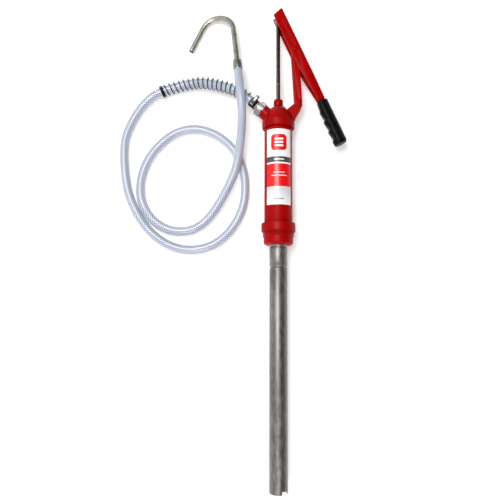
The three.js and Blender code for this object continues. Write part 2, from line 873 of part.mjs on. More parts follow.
// A channel with its web on the side away from the rod, open round both pivots
function linkChannel() {
  const outline = [
    ...arc([0, 0], LINK_R, 180, 360, 14),
    ...arc([0, LINK_LENGTH], LINK_R, 0, 180, 14),
  ];
  const outer = plate(outline, -LINK_OUTER, LINK_OUTER);
  const webTop = LINK_LENGTH - LINK_WEB_START;
  const inside = [
    [-LINK_R - 1, -LINK_R - 1],
    [LINK_R + 1, -LINK_R - 1],
    [LINK_R + 1, LINK_WEB_START],
    [LINK_R - SHEET, LINK_WEB_START],
    [LINK_R - SHEET, webTop],
    [LINK_R + 1, webTop],
    [LINK_R + 1, LINK_LENGTH + LINK_R + 1],
    [-LINK_R - 1, LINK_LENGTH + LINK_R + 1],
  ];
  const hollow = plate(inside, -LINK_INNER, LINK_INNER);
  const holes = [[0, 0], [0, LINK_LENGTH]].map((at) =>
    pinAt(at, PIN_R + GAP, -LINK_OUTER - 1, LINK_OUTER + 1, SMALL),
  );
  return outer.subtract(hollow).subtract(holes[0]).subtract(holes[1]);
}

piece('link', linkChannel(), sheetRed(), linkage);
piece('bracket_pin', headedPin(LINK_OUTER), sheetRed(), linkage);

// ---------------------------------------------------------------- lever and grip

const leverRodPivot = (() => {
  const angle = radians(LEVER_ANGLE);
  const x = ROD_PIVOT[0] - LEVER_PIVOT[0];
  const y = ROD_PIVOT[1] - LEVER_PIVOT[1];
  return [x * Math.sin(angle) - y * Math.cos(angle), x * Math.cos(angle) + y * Math.sin(angle)];
})();

// The channel's side view. A positive inset gives the hollow, which runs out at the front and ends.
function leverSide(inset) {
  const open = inset > 0 ? 10 : 0;
  return [
    [-79.6 - open, LEVER_FRONT + 0.3 - open],
    [-73.4, LEVER_FRONT + 0.2 - open],
    [-72.6, LEVER_FRONT - open],
    [LEVER_TAPER_START, LEVER_FRONT - open],
    [LEVER_MOUTH, LEVER_MOUTH_FRONT - open],
    [LEVER_MOUTH + 2, TAIL_FRONT - open],
    [TAIL_END + open, TAIL_FRONT - open],
    [TAIL_END + open, TAIL_BACK - inset],
    [LEVER_MOUTH + 2, TAIL_BACK - inset],
    [LEVER_MOUTH, LEVER_BACK - inset],
    [-84.5 - open, LEVER_BACK - inset],
    [-86.2 - open, LEVER_BACK - 1.4 - inset],
  ];
}

// The channel seen from its back, as half widths along the lever
function leverPlan(inset, ends) {
  const stations = [
    [-90, LEVER_OUTER],
    [LEVER_NARROWS_FROM, LEVER_OUTER],
    [LEVER_MOUTH, TAIL_HALF + 1],
    [LEVER_MOUTH + 2, TAIL_HALF],
    [TAIL_END + ends, TAIL_HALF],
  ];
  const right = stations.map(([u, half]) => [u, half - inset]);
  const left = stations.map(([u, half]) => [u, -(half - inset)]).reverse();
  return [...left, ...right];
}

// A plate whose outline lies in X and Z, between two values of Y
function plateAcross(outline, low, high) {
  const shape = new THREE.Shape(outline.map(([x, z]) => new THREE.Vector2(x, -z)));
  const geometry = new THREE.ExtrudeGeometry(shape, { depth: high - low, bevelEnabled: false });
  geometry.rotateX(-Math.PI / 2);
  geometry.translate(0, low, 0);
  return solid(geometry);
}

function leverChannel() {
  const reach = LEVER_OUTER + 1;
  const outer = plate(leverSide(0), -reach, reach).intersect(plateAcross(leverPlan(0, 1), -40, 40));
  const inner = plate(leverSide(SHEET), -reach, reach).intersect(
    plateAcross(leverPlan(SHEET, 20), -40, 40),
  );
  const pivotHole = pinAt([0, 0], PIN_R + GAP, -reach, reach, SMALL);
  const rodHole = pinAt(leverRodPivot, PIN_R, -reach, reach, SMALL);
  return outer.subtract(inner).subtract(pivotHole).subtract(rodHole);
}

// One end of the rod's pin: a shank through the lever's side and a low head outside it
function rodPinHead(side) {
  const shank = PIN_R - GAP;
  const profile = [
    [0, LEVER_INNER],
    [shank, LEVER_INNER],
    [shank, LEVER_OUTER + GAP],
    [PIN_HEAD_R, LEVER_OUTER + GAP],
    [PIN_HEAD_R, LEVER_OUTER + GAP + PIN_HEAD / 2],
    [PIN_HEAD_R - 0.8, LEVER_OUTER + GAP + PIN_HEAD],
    [0, LEVER_OUTER + GAP + PIN_HEAD],
  ];
  const geometry = surface(turned(profile, SMALL));
  geometry.rotateX((side * Math.PI) / 2);
  geometry.translate(leverRodPivot[0], leverRodPivot[1], 0);
  return solid(geometry);
}

// How far the grip's finger side stands out at a place along the lever
function gripFingers(u) {
  const place = u - GRIP_START;
  const next = GRIP_FRONT.findIndex(([at]) => at > place);
  if (next < 1) return GRIP_FRONT.at(next === 0 ? 0 : -1)[1];
  const [from, low] = GRIP_FRONT[next - 1];
  const [to, high] = GRIP_FRONT[next];
  const eased = (1 - Math.cos((Math.PI * (place - from)) / (to - from))) / 2;
  return low + (high - low) * eased;
}

// A moulded sleeve, oval in section, with finger grooves on its front and a rim at its closed end
function gripSleeve() {
  const end = GRIP_START + GRIP_LENGTH;
  const stations = 34;
  const profile = [new THREE.Vector2(0, GRIP_START), new THREE.Vector2(0.93, GRIP_START)];
  for (let i = 0; i <= stations; i += 1) {
    profile.push(new THREE.Vector2(1, GRIP_START + 1.2 + ((GRIP_LENGTH - 4.2) * i) / stations));
  }
  profile.push(new THREE.Vector2(0.9, end - 1.2));
  profile.push(new THREE.Vector2(0.7, end));
  profile.push(new THREE.Vector2(0, end));
  const geometry = new THREE.LatheGeometry(profile, MIDDLE);
  const places = geometry.attributes.position;
  for (let i = 0; i < places.count; i += 1) {
    const v = places.getX(i);
    const u = places.getY(i);
    const reach = v > 0 ? GRIP_BACK : gripFingers(Math.min(u, end - 6));
    places.setXYZ(i, u, v * reach, -places.getZ(i) * GRIP_HALF);
  }
  const tail = [
    [GRIP_START - 1, TAIL_FRONT - GAP - 0.3],
    [TAIL_END + GAP, TAIL_FRONT - GAP],
    [TAIL_END + GAP, TAIL_BACK + GAP],
    [GRIP_START - 1, TAIL_BACK + GAP],
  ];
  const mouth = [
    [GRIP_START - 1, LEVER_MOUTH_FRONT - GAP],
    [LEVER_MOUTH + 2 + GAP, LEVER_MOUTH_FRONT - GAP],
    [LEVER_MOUTH + 2 + GAP, LEVER_BACK + GAP],
    [GRIP_START - 1, LEVER_BACK + GAP],
  ];
  return solid(geometry)
    .subtract(plate(tail, -TAIL_HALF - GAP, TAIL_HALF + GAP))
    .subtract(plate(mouth, -TAIL_HALF - 1 - GAP, TAIL_HALF + 1 + GAP));
}

piece('lever', leverChannel(), sheetRed(), leverGroup);
piece('lever_pin', headedPin(LEVER_OUTER), sheetRed(), leverGroup);
piece('rod_pin_head_front', rodPinHead(1), sheetRed(), leverGroup);
piece('rod_pin_head_back', rodPinHead(-1), sheetRed(), leverGroup);
piece('grip', gripSleeve(), blackPlastic(), leverGroup);

// ---------------------------------------------------------------- hose, spring guard and spout

const outletDirection = new THREE.Vector3(0, 1, 0).applyEuler(outlet.rotation);
const onOutlet = (distance) =>
  outletDirection.clone().multiplyScalar(BOSS_FACE + distance).add(outlet.position);

// Height of the spout's centreline above the floor: its plane leans on the tip's leg
const legDirection = new THREE.Vector2(...SPOUT_TIP).sub(new THREE.Vector2(...SPOUT_LEG_TOP)).normalize();
function spoutPoint(x, y) {
  const away = (x - SPOUT_TIP[0]) * -legDirection.y + (y - SPOUT_TIP[1]) * legDirection.x;
  const height = SPOUT_TUBE_R + GAP + SPOUT_SLOPE * away;
  return new THREE.Vector3(x, y, height - COLLAR_R);
}

const bend = arc(SPOUT_BEND_CENTRE, SPOUT_BEND_R, SPOUT_BEND_FROM, SPOUT_BEND_TO, 12).map(([x, y]) =>
  spoutPoint(x, y),
);
const stemTop = bend[0];
const stemFoot = spoutPoint(-80.5, 335.4); // where the tube comes out of its collar
const stemDirection = stemTop.clone().sub(stemFoot).normalize();
const hoseEnd = stemFoot.clone().addScaledVector(stemDirection, -SPOUT_COLLAR_LENGTH);

const hosePoints = [
  onOutlet(HOSE_START),
  onOutlet(HOSE_START + 14),
  onOutlet(HOSE_START + 29),
  ...HOSE_ROUTE.map(([x, y, height]) => new THREE.Vector3(x, y, height - COLLAR_R)),
  hoseEnd.clone().addScaledVector(stemDirection, -SPOUT_BARB_LENGTH - 4),
  hoseEnd.clone().addScaledVector(stemDirection, -SPOUT_BARB_LENGTH / 2),
  hoseEnd,
];
const hoseCurve = new THREE.CatmullRomCurve3(hosePoints, false, 'centripetal');
hoseCurve.arcLengthDivisions = 1200;
const hoseLength = hoseCurve.getLength();

piece('hose', swept(hoseCurve, HOSE_R, HOSE_BORE_R, HOSE_SIDES, HOSE_STEPS), clearHose(), pump);

const springPoints = Array.from({ length: SPRING_STEPS + 1 }, (_, i) =>
  hoseCurve.getPointAt((SPRING_START + (SPRING_LENGTH * i) / SPRING_STEPS) / hoseLength),
);
const springCurve = new THREE.CatmullRomCurve3(springPoints, false, 'centripetal');
piece(
  'spring_guard',
  swept(springCurve, SPRING_R, SPRING_R - SPRING_WIRE, 12, SPRING_STEPS),
  springSteel(),
  pump,
);

const spout = new THREE.Group(); // Y along the spout's stem, from the hose's end
spout.position.copy(hoseEnd);
spout.quaternion.setFromUnitVectors(new THREE.Vector3(0, 1, 0), stemDirection);
pump.add(spout);

// The collar has a barbed tail in the hose and a socket for the tube
function spoutCollar() {
  const bore = SPOUT_TUBE_R - SPOUT_TUBE_WALL;
  const socket = SPOUT_TUBE_R + GAP;
  const barbs = [];
  const count = 4;
  const step = SPOUT_BARB_LENGTH / count;
  for (let i = 0; i < count; i += 1) {
    const y = -SPOUT_BARB_LENGTH + i * step;
    barbs.push([BARB_R - 0.8, y], [BARB_R, y + step - 0.4]);
  }
  return turned(
    [
      [TAIL_BORE_R, -SPOUT_BARB_LENGTH],
      ...barbs,
      [BARB_R, GAP],
      [SPOUT_COLLAR_R - 0.8, GAP],
      [SPOUT_COLLAR_R, 1.1],
      [SPOUT_COLLAR_R, SPOUT_COLLAR_LENGTH - 1.5],
      [SPOUT_COLLAR_R - 1.2, SPOUT_COLLAR_LENGTH],
      [socket, SPOUT_COLLAR_LENGTH],
      [socket, SPOUT_COLLAR_LENGTH - SPOUT_SOCKET],
      [bore, SPOUT_COLLAR_LENGTH - SPOUT_SOCKET],
      [TAIL_BORE_R, -SPOUT_BARB_LENGTH],
    ],
    MIDDLE,
  );
}

piece('spout_collar', spoutCollar(), zincSteel(), spout);

const spoutCurve = new THREE.CurvePath();
const tubeFoot = hoseEnd
  .clone()
  .addScaledVector(stemDirection, SPOUT_COLLAR_LENGTH - SPOUT_SOCKET + GAP);
spoutCurve.add(new THREE.LineCurve3(tubeFoot, stemTop));
spoutCurve.add(new THREE.CatmullRomCurve3(bend, false, 'centripetal'));
spoutCurve.add(new THREE.LineCurve3(bend[bend.length - 1], spoutPoint(...SPOUT_TIP)));
piece(
  'spout_tube',
  swept(spoutCurve, SPOUT_TUBE_R, SPOUT_TUBE_R - SPOUT_TUBE_WALL, 10, SPOUT_STEPS),
  zincSteel(),
  pump,
);

// ---------------------------------------------------------------- on to the floor

// What lies loose at the outlet: it doesn't count when the origin is set
const LOOSE = [
  'clamp_band',
  'clamp_housing',
  'clamp_screw',
  'spring_guard',
  'hose',
  'spout_collar',
  'spout_tube',
];

pump.position.z = COLLAR_R;
model.updateMatrixWorld(true);
const bounds = new THREE.Box3();
model.traverse((node) => {
  if (node.isMesh && !LOOSE.includes(node.name)) bounds.expandByObject(node, true);
});
const middle = bounds.getCenter(new THREE.Vector3());
pump.position.x = -middle.x;
pump.position.y = -middle.y;
model.updateMatrixWorld(true);

export default model;
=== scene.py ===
"""The looks of a hand lever drum pump that lies on a floor with its hose and hooked spout.

Shapes are written in millimetres in the pump's own axes: Y runs up the pump from the underside of
the bung collar, X points to the lever's side and Z points up. world() turns them into the frame.
"""

import math

import bmesh
import bpy
import numpy as np
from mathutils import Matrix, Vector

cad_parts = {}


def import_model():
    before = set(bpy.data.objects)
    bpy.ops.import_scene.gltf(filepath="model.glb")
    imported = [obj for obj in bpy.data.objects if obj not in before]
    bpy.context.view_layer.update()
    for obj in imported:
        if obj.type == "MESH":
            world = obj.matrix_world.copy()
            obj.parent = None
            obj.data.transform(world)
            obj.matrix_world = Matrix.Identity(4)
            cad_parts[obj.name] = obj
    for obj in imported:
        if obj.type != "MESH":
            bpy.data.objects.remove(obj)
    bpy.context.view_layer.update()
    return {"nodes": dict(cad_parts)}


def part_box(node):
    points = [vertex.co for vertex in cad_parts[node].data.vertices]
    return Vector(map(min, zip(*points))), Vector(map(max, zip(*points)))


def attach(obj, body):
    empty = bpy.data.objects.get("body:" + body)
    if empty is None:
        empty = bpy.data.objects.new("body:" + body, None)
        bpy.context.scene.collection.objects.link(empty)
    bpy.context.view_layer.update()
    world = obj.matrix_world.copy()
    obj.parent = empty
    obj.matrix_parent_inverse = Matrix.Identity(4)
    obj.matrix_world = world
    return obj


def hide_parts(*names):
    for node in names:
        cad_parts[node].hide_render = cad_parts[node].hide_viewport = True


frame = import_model()
scene = bpy.context.scene
nodes = frame["nodes"]

# ------------------------------------------------------------------ sizes, millimetres

MM = 0.001
PILOT_LENGTH = 24.7
_low, _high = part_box("bung_adaptor")
ORIGIN = np.array(
    [(_low[0] + _high[0]) / 2, _low[1] + PILOT_LENGTH * MM, (_low[2] + _high[2]) / 2]
)
AXIS_HEIGHT = 32.4

COLLAR_R, COLLAR_HEIGHT, THREAD_LAND_R = 32.4, 16.3, 29.9
THREAD_R, THREAD_DEPTH, THREAD_PITCH, THREAD_END = 29.8, 1.15, 2.9, -9.7
PILOT_R = 28.0
BARREL_R, BARREL_WALL, BARREL_BOTTOM, BARREL_TOP = 26.75, 3.5, 7.8, 211.7
CAP_R, CAP_BOTTOM, CAP_TOP, DOME_TOP = 31.15, 201.5, 216.5, 246.2
GLAND_R, GLAND_TOP = 8.95, 260.2
OUTLET_CROSSING, OUTLET_TILT = 210.5, math.radians(48)
BOSS_R, BOSS_FACE = 13.2, 38.6
NUT_ACROSS, NUT_LENGTH = 27.0, 14.0
TUBE_R, TUBE_WALL, TUBE_END, TUBE_TOP = 16.85, 2.0, -471.5, 2.2
GROOVES, GROOVE_DEPTH = (-28.6, -66.2), 1.3
NOTCH_ANGLE, NOTCH_HALF_SPAN, NOTCH_HEIGHT = 48.0, 30.0, 6.0
ROD_R, ROD_BOTTOM = 4.0, 161.0
BRACKET_PIVOT, LEVER_PIVOT, ROD_PIVOT = (38.6, 254.0), (32.1, 362.0), (0.0, 425.0)
EAR_HALF = 6.0
LEVER_ANGLE = math.radians(24.35 - 90)
LEVER_OUTER = 11.6
LINK_OUTER = 8.8
GRIP_START, GRIP_LENGTH, GRIP_BACK, GRIP_HALF = 116.0, 93.5, 16.3, 13.2
# The grip's finger side: distance from its mouth, and how far it stands out there
GRIP_FRONT = [
    (0, 5.2), (16, 6.7), (20.7, 8.5), (37, 6.6), (42.2, 9.8),
    (58.1, 7), (62.9, 9.8), (78.5, 7.5), (84, 10.2), (200, 10.2),
]  # fmt: skip
HOSE_R, HOSE_BORE_R = 8.5, 6.25
SPRING_R, SPRING_WIRE, SPRING_START, SPRING_LENGTH = 12.0, 2.0, 24.0, 186.0
SPOUT_R, SPOUT_WALL = 5.5, 1.0
SPOUT_SLOPE = 0.37
SPOUT_LEG_TOP, SPOUT_TIP = (-150.4, 420.8), (-173.9, 371.4)
SPOUT_BEND_CENTRE, SPOUT_BEND_R, SPOUT_BEND = (-121.1, 406.0), 32.8, (5.7, 154.5)
STEM_FOOT = (-80.5, 335.4)
COLLAR_LENGTH = 21.0

# The hose's centreline past its first turns: x, y and height above the floor
HOSE_ROUTE = [
    (-84, 280.5, 30.4), (-145, 299, 21), (-180, 298, 15.6), (-241, 278.5, 12.3),
    (-266, 257, 10.2), (-288, 222, 9), (-301, 180, 8.9), (-293.5, 90, 8.9),
    (-275, 43, 8.9), (-245, 2, 8.9), (-205, -24.5, 8.9), (-164, -31.5, 8.9),
    (-123, -20.5, 8.9), (-90, 9, 8.9), (-69.5, 48, 8.9), (-63.5, 90, 8.9),
    (-69.5, 132, 8.9), (-88, 168, 8.9), (-120, 196, 8.9), (-160, 208.5, 8.9),
    (-199, 201, 8.9), (-234, 173.5, 8.9), (-258, 137, 8.9), (-267.4, 95, 8.9),
    (-262.3, 58.4, 8.9), (-239.3, 24.7, 8.9), (-204.6, 6.3, 8.9), (-165, 8, 9.6),
    (-131, 33.5, 12.4), (-86.5, 112, 22.6), (-76.6, 150, 28.8), (-71.6, 190, 39.2),
    (-70.4, 226, 49.6), (-72.4, 258, 55.2),
]  # fmt: skip

# ------------------------------------------------------------------ points and meshes


def world(points):
    """Millimetres in the pump's axes to metres in the frame."""
    return np.asarray(points, float) * MM + ORIGIN


def turned_z(points, angle, at=(0, 0, 0)):
    """Points turned about Z, then moved."""
    c, s = math.cos(angle), math.sin(angle)
    p = np.asarray(points, float)
    return np.stack(
        [p[:, 0] * c - p[:, 1] * s, p[:, 0] * s + p[:, 1] * c, p[:, 2]], axis=1
    ) + np.asarray(at, float)


def on_outlet(points):
    return turned_z(points, OUTLET_TILT, (0, OUTLET_CROSSING, 0))


def on_lever(points):
    return turned_z(points, LEVER_ANGLE, (*LEVER_PIVOT, 0))


def along_z(points, at):
    """A shape about Y laid along Z, through the point at."""
    p = np.asarray(points, float)
    return np.stack([p[:, 0] + at[0], -p[:, 2] + at[1], p[:, 1]], axis=1)


def along(points, foot, direction):
    """A shape about Y stood on foot, along direction."""
    y = np.asarray(direction, float) / np.linalg.norm(direction)
    x = np.cross(y, (0, 0, 1.0))
    x /= np.linalg.norm(x)
    z = np.cross(x, y)
    p = np.asarray(points, float)
    return np.asarray(foot) + p[:, :1] * x + p[:, 1:2] * y + p[:, 2:] * z


def piece(name, verts, faces, body, material, replaces=(), slot=None, sharp=38):
    """A mesh in the frame, from points in millimetres, that rides on a body."""
    mesh = bpy.data.meshes.new(name)
    mesh.from_pydata([tuple(v) for v in world(verts)], [], faces)
    bm = bmesh.new()
    bm.from_mesh(mesh)
    bmesh.ops.recalc_face_normals(bm, faces=bm.faces)
    bm.to_mesh(mesh)
    bm.free()
    mesh.shade_smooth()
    mesh.set_sharp_from_angle(angle=math.radians(sharp))
    return placed(name, mesh, body, material, replaces)


def placed(name, mesh, body, material, replaces=()):
    o = bpy.data.objects.new(name, mesh)
    scene.collection.objects.link(o)
    mesh.materials.clear()
    mesh.materials.append(material)
    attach(o, body)
    if replaces:
        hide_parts(*replaces)
    return o


def soften(points, radius, steps=3, closed=False):
    """An outline with its corners rounded."""
    out = []
    n = len(points)
    for i, p in enumerate(points):
        if not closed and i in (0, n - 1):
            out.append(tuple(p))
            continue
        p = np.array(p, float)
        a, b = np.array(points[i - 1], float), np.array(points[(i + 1) % n], float)
        la, lb = np.linalg.norm(a - p), np.linalg.norm(b - p)
        cut = min(radius, 0.45 * la, 0.45 * lb)
        if cut < 1e-4:
            out.append(tuple(p))
            continue
        first, last = p + (a - p) / la * cut, p + (b - p) / lb * cut
        for k in range(steps + 1):
            t = k / steps
            out.append(tuple((1 - t) ** 2 * first + 2 * t * (1 - t) * p + t * t * last))
    return out


def skin(rows, ring):
    """Faces through rows of points. A row of one point is a pole; ring joins last to first."""
    verts, index = [], []
    for row in rows:
        index.append(list(range(len(verts), len(verts) + len(row))))
        verts.extend(tuple(p) for p in row)
    faces = []
    pairs = list(zip(index, index[1:])) + ([(index[-1], index[0])] if ring else [])
    for a, b in pairs:
        n = max(len(a), len(b))
        for k in range(n):
            j = (k + 1) % n
            if len(a) == 1:
                faces.append((a[0], b[j], b[k]))
            elif len(b) == 1:
                faces.append((a[k], a[j], b[0]))
            else:
                faces.append((a[k], a[j], b[j], b[k]))
    return verts, faces


def lathe(profile, segments=96, warp=None):
    """A profile of (radius, y) turned about Y, angles from +Z towards +X."""
    rows = []
    for r, y in profile:
        if r < 1e-6:
            rows.append([(0.0, y, 0.0)])
            continue
        row = []
        for k in range(segments):
            a = 2 * math.pi * k / segments
            rr, yy = warp(r, y, a) if warp else (r, y)
            row.append((rr * math.sin(a), yy, rr * math.cos(a)))
        rows.append(row)
    return skin(rows, ring=len(rows[0]) > 1)


def joined(*shapes):
    """Several closed shapes as one list of points and faces."""
    verts, faces = [], []
    for v, f in shapes:
        base = len(verts)
        verts.extend(tuple(p) for p in v)
        faces.extend(tuple(i + base for i in face) for face in f)
    return verts, faces


def carried(points_of, shape):
    verts, faces = shape
    return [tuple(p) for p in points_of(verts)], faces


def slab(outline, low, high):
    """A flat plate with its outline in X and Y."""
    n = len(outline)
    verts = [(x, y, low) for x, y in outline] + [(x, y, high) for x, y in outline]
    faces = [tuple(range(n))[::-1], tuple(range(n, 2 * n))]
    faces += [(i, (i + 1) % n, n + (i + 1) % n, n + i) for i in range(n)]
    return verts, faces


def arc(centre, radius, start, end, steps):
    return [
        (
            centre[0] + radius * math.cos(math.radians(start + (end - start) * i / steps)),
            centre[1] + radius * math.sin(math.radians(start + (end - start) * i / steps)),
        )
        for i in range(steps + 1)
    ]


def modified(o, kind, **values):
    m = o.modifiers.new(kind.lower(), kind)
    for key, value in values.items():
        setattr(m, key, value)


def applied(o):
    """Keeps the object's mesh as its modifiers leave it."""
    mesh = bpy.data.meshes.new_from_object(
        o.evaluated_get(bpy.context.evaluated_depsgraph_get())
    )
    o.modifiers.clear()
    old = o.data
    o.data = mesh
    bpy.data.meshes.remove(old)


# ------------------------------------------------------------------ curves


def smooth_line(points, steps=14):
    """A centripetal Catmull-Rom curve through points."""
    p = [np.array(q, float) for q in points]
    p = [2 * p[0] - p[1]] + p + [2 * p[-1] - p[-2]]
    out = []
    for i in range(1, len(p) - 2):
        x0, x1, x2, x3 = p[i - 1 : i + 3]
        a, b, c = (
            max(np.linalg.norm(u - v) ** 0.5, 1e-4)
            for u, v in ((x0, x1), (x1, x2), (x2, x3))
        )
        t1 = ((x1 - x0) / a - (x2 - x0) / (a + b) + (x2 - x1) / b) * b
        t2 = ((x2 - x1) / b - (x3 - x1) / (b + c) + (x3 - x2) / c) * b
        for k in range(steps):
            t = k / steps
            out.append(
                x1
                + t1 * t
                + (-3 * x1 + 3 * x2 - 2 * t1 - t2) * t * t
                + (2 * x1 - 2 * x2 + t1 + t2) * t**3
            )
    out.append(p[-2])
    return np.array(out)


def lengths(line):
    return np.concatenate([[0], np.cumsum(np.linalg.norm(np.diff(line, axis=0), axis=1))])


def at_lengths(line, where):
    run = lengths(line)
    return np.stack([np.interp(where, run, line[:, k]) for k in range(3)], axis=1)


def frames_along(line):
    """The tangent and two normals at each point, without twist."""
    t = np.gradient(line, axis=0)
    t /= np.linalg.norm(t, axis=1)[:, None]
    n = np.array([0, 0, 1.0])
    normals = []
    for d in t:
        n = n - d * n.dot(d)
        n /= np.linalg.norm(n)
        normals.append(n)
    normals = np.array(normals)
    return t, normals, np.cross(t, normals)


def rings_along(line, radii, sides):
    """Rings of points round a line, the first point of each underneath."""
    _, n, b = frames_along(line)
    a = 2 * math.pi * np.arange(sides) / sides + math.pi
    return [
        p + r * (np.cos(a)[:, None] * u + np.sin(a)[:, None] * v)
        for p, r, u, v in zip(line, radii, n, b)
    ]


def pipe(line, outer, inner, sides):
    """A hollow tube along a line, its ends a little rounded."""
    n = len(line)
    out = np.full(n, float(outer))
    bore = np.full(n, float(inner))
    out[[0, -1]] -= 0.3
    return skin(
        rings_along(line, out, sides) + rings_along(line, bore, sides)[::-1], ring=True
    )


def wire(line, radius, sides):
    """A round wire along a line, closed at its ends."""
    n = len(line)
    r = np.full(n, float(radius))
    r[[0, -1]] *= 0.6
    rows = rings_along(line, r, sides)
    return skin([[line[0]]] + rows + [[line[-1]]], ring=False)


# ------------------------------------------------------------------ materials


def srgb(r, g, b):
    def straight(v):
        v /= 255
        return v / 12.92 if v <= 0.04045 else ((v + 0.055) / 1.055) ** 2.4

    return (straight(r), straight(g), straight(b), 1)


class Nodes:
    """A material's node tree, with its principled shader."""

    def __init__(self, name):
        self.material = bpy.data.materials.new(name)
        self.material.use_nodes = True
        self.tree = self.material.node_tree
        self.shader = self.tree.nodes["Principled BSDF"]
        self.coords = self.add("ShaderNodeTexCoord").outputs["Object"]

    def add(self, kind, inputs=None, **settings):
        node = self.tree.nodes.new(kind)
        for key, value in settings.items():
            setattr(node, key, value)
        for key, value in (inputs or {}).items():
            self.put(node.inputs[key], value)
        return node

    def put(self, socket, value):
        if isinstance(value, bpy.types.NodeSocket):
            self.tree.links.new(value, socket)
        else:
            socket.default_value = value

    def set(self, **values):
        for key, value in values.items():
            self.put(self.shader.inputs[key.replace("_", " ")], value)

    def math(self, operation, a, b=0.0):
        node = self.add("ShaderNodeMath", operation=operation)
        self.put(node.inputs[0], a)
        self.put(node.inputs[1], b)
        return node.outputs[0]

    def scaled(self, scale):
        return self.add(
            "ShaderNodeMapping", {"Vector": self.coords, "Scale": scale}
        ).outputs[0]

    def noise(self, scale, detail=3.0, stretch=(1, 1, 1), rough=0.5):
        return self.add(
            "ShaderNodeTexNoise",
            {
                "Vector": self.scaled(stretch),
                "Scale": scale,
                "Detail": detail,
                "Roughness": rough,
            },
        ).outputs["Fac"]

    def ramp(self, fac, stops, interpolation="LINEAR"):
        node = self.add("ShaderNodeValToRGB", {"Fac": fac})
        ramp = node.color_ramp
        ramp.interpolation = interpolation
        while len(ramp.elements) < len(stops):
            ramp.elements.new(0.5)
        for element, (at, colour) in zip(ramp.elements, stops):
            element.position = at
            element.color = colour
        return node.outputs[0]

    def ranged(self, value, low, high, from_low=0.3, from_high=0.7):
        return self.add(
            "ShaderNodeMapRange",
            {
                "Value": value,
                "From Min": from_low,
                "From Max": from_high,
                "To Min": low,
                "To Max": high,
            },
        ).outputs[0]

    def mixed(self, fac, a, b):
        node = self.add("ShaderNodeMix", data_type="RGBA")
        self.put(node.inputs[0], fac)
        self.put(node.inputs[6], a)
        self.put(node.inputs[7], b)
        return node.outputs[2]

    def bump(self, height, distance, strength=1.0):
        node = self.add(
            "ShaderNodeBump", {"Height": height, "Distance": distance, "Strength": strength}
        )
        self.set(Normal=node.outputs[0])


def paint(name, dark, light, grain, depth, rough):
    m = Nodes(name)
    tone = m.noise(45, 4)
    m.set(
        Base_Color=m.ramp(tone, [(0.3, srgb(*dark)), (0.7, srgb(*light))]),
        Roughness=m.ranged(m.noise(160, 3), *rough),
        Coat_Weight=0.03,
        Coat_Roughness=0.12,
        Specular_IOR_Level=0.09,
    )
    m.bump(m.noise(grain, 4, rough=0.6), depth)
    return m.material


def metal(name, dark, light, rough, grain=(420, (1, 1, 1)), depth=0.00003):
    m = Nodes(name)
    m.set(
        Base_Color=m.ramp(m.noise(110, 5, rough=0.65), [(0.3, srgb(*dark)), (0.72, srgb(*light))]),
        Roughness=m.ranged(m.noise(260, 3), *rough),
        Metallic=1.0,
    )
    scale, stretch = grain
    m.bump(m.noise(scale, 3, stretch), depth)
    return m.material


cast_red = paint("cast_red", (150, 0, 0), (166, 0, 0), 900, 0.00012, (0.34, 0.5))
sheet_red = paint("sheet_red", (152, 0, 0), (166, 0, 0), 500, 0.00004, (0.26, 0.38))
nickel = metal("nickel", (150, 142, 136), (196, 186, 178), (0.2, 0.36))
zinc = metal("zinc", (118, 128, 124), (170, 180, 174), (0.24, 0.42))
clamp_dark = metal("clamp_dark", (30, 34, 33), (62, 66, 64), (0.3, 0.45))
spring_dark = metal("spring_dark", (34, 36, 44), (58, 62, 72), (0.28, 0.42))
rod_bright = metal("rod_bright", (84, 77, 74), (112, 104, 100), (0.16, 0.26), (300, (1, 9, 1)))
brass = metal("brass", (150, 118, 60), (186, 152, 86), (0.3, 0.45))
spout_zinc = metal("spout_zinc", (150, 147, 136), (196, 194, 182), (0.3, 0.46), (260, (1, 6, 1)))


def rubber_black():
    m = Nodes("rubber_black")
    m.set(
        Base_Color=m.ramp(m.noise(300, 3), [(0.3, srgb(28, 28, 30)), (0.7, srgb(44, 44, 46))]),
        Roughness=m.ranged(m.noise(500, 2), 0.6, 0.8),
    )
    m.bump(m.noise(1500, 3), 0.00004)
    return m.material


def tube_zinc():
    """Mottled zinc on drawn tube, brighter on the sleeve between the grooves."""
    m = Nodes("tube_zinc")
    mottle = m.noise(150, 6, (1, 0.45, 1), 0.7)
    cloud = m.noise(26, 3, (1, 0.5, 1))
    plain = m.ramp(mottle, [(0.32, srgb(96, 93, 92)), (0.68, srgb(132, 129, 127))])
    worn = m.ramp(mottle, [(0.32, srgb(118, 115, 113)), (0.68, srgb(154, 151, 148))])
    y = m.add("ShaderNodeSeparateXYZ", {"Vector": m.coords}).outputs[1]
    above = m.math("GREATER_THAN", y, float(ORIGIN[1] + GROOVES[1] * MM))
    toned = m.mixed(m.ranged(cloud, 0.0, 0.75), plain, worn)
    m.set(
        Base_Color=m.mixed(m.math("MULTIPLY", above, 0.7), toned, worn),
        Roughness=m.ranged(mottle, 0.34, 0.56),
        Metallic=0.92,
    )
    m.bump(m.noise(700, 4, (1, 0.25, 1)), 0.00005)
    return m.material


def grip_black():
    m = Nodes("grip_black")
    m.set(
        Base_Color=m.ramp(m.noise(220, 3), [(0.3, srgb(3, 3, 6)), (0.7, srgb(9, 9, 14))]),
        Roughness=m.ranged(m.noise(400, 3), 0.36, 0.52),
        Specular_IOR_Level=0.14,
    )
    m.bump(m.noise(1700, 4), 0.00006)
    return m.material


HOSE_STRANDS = 10
HOSE_LEAD = 5.4


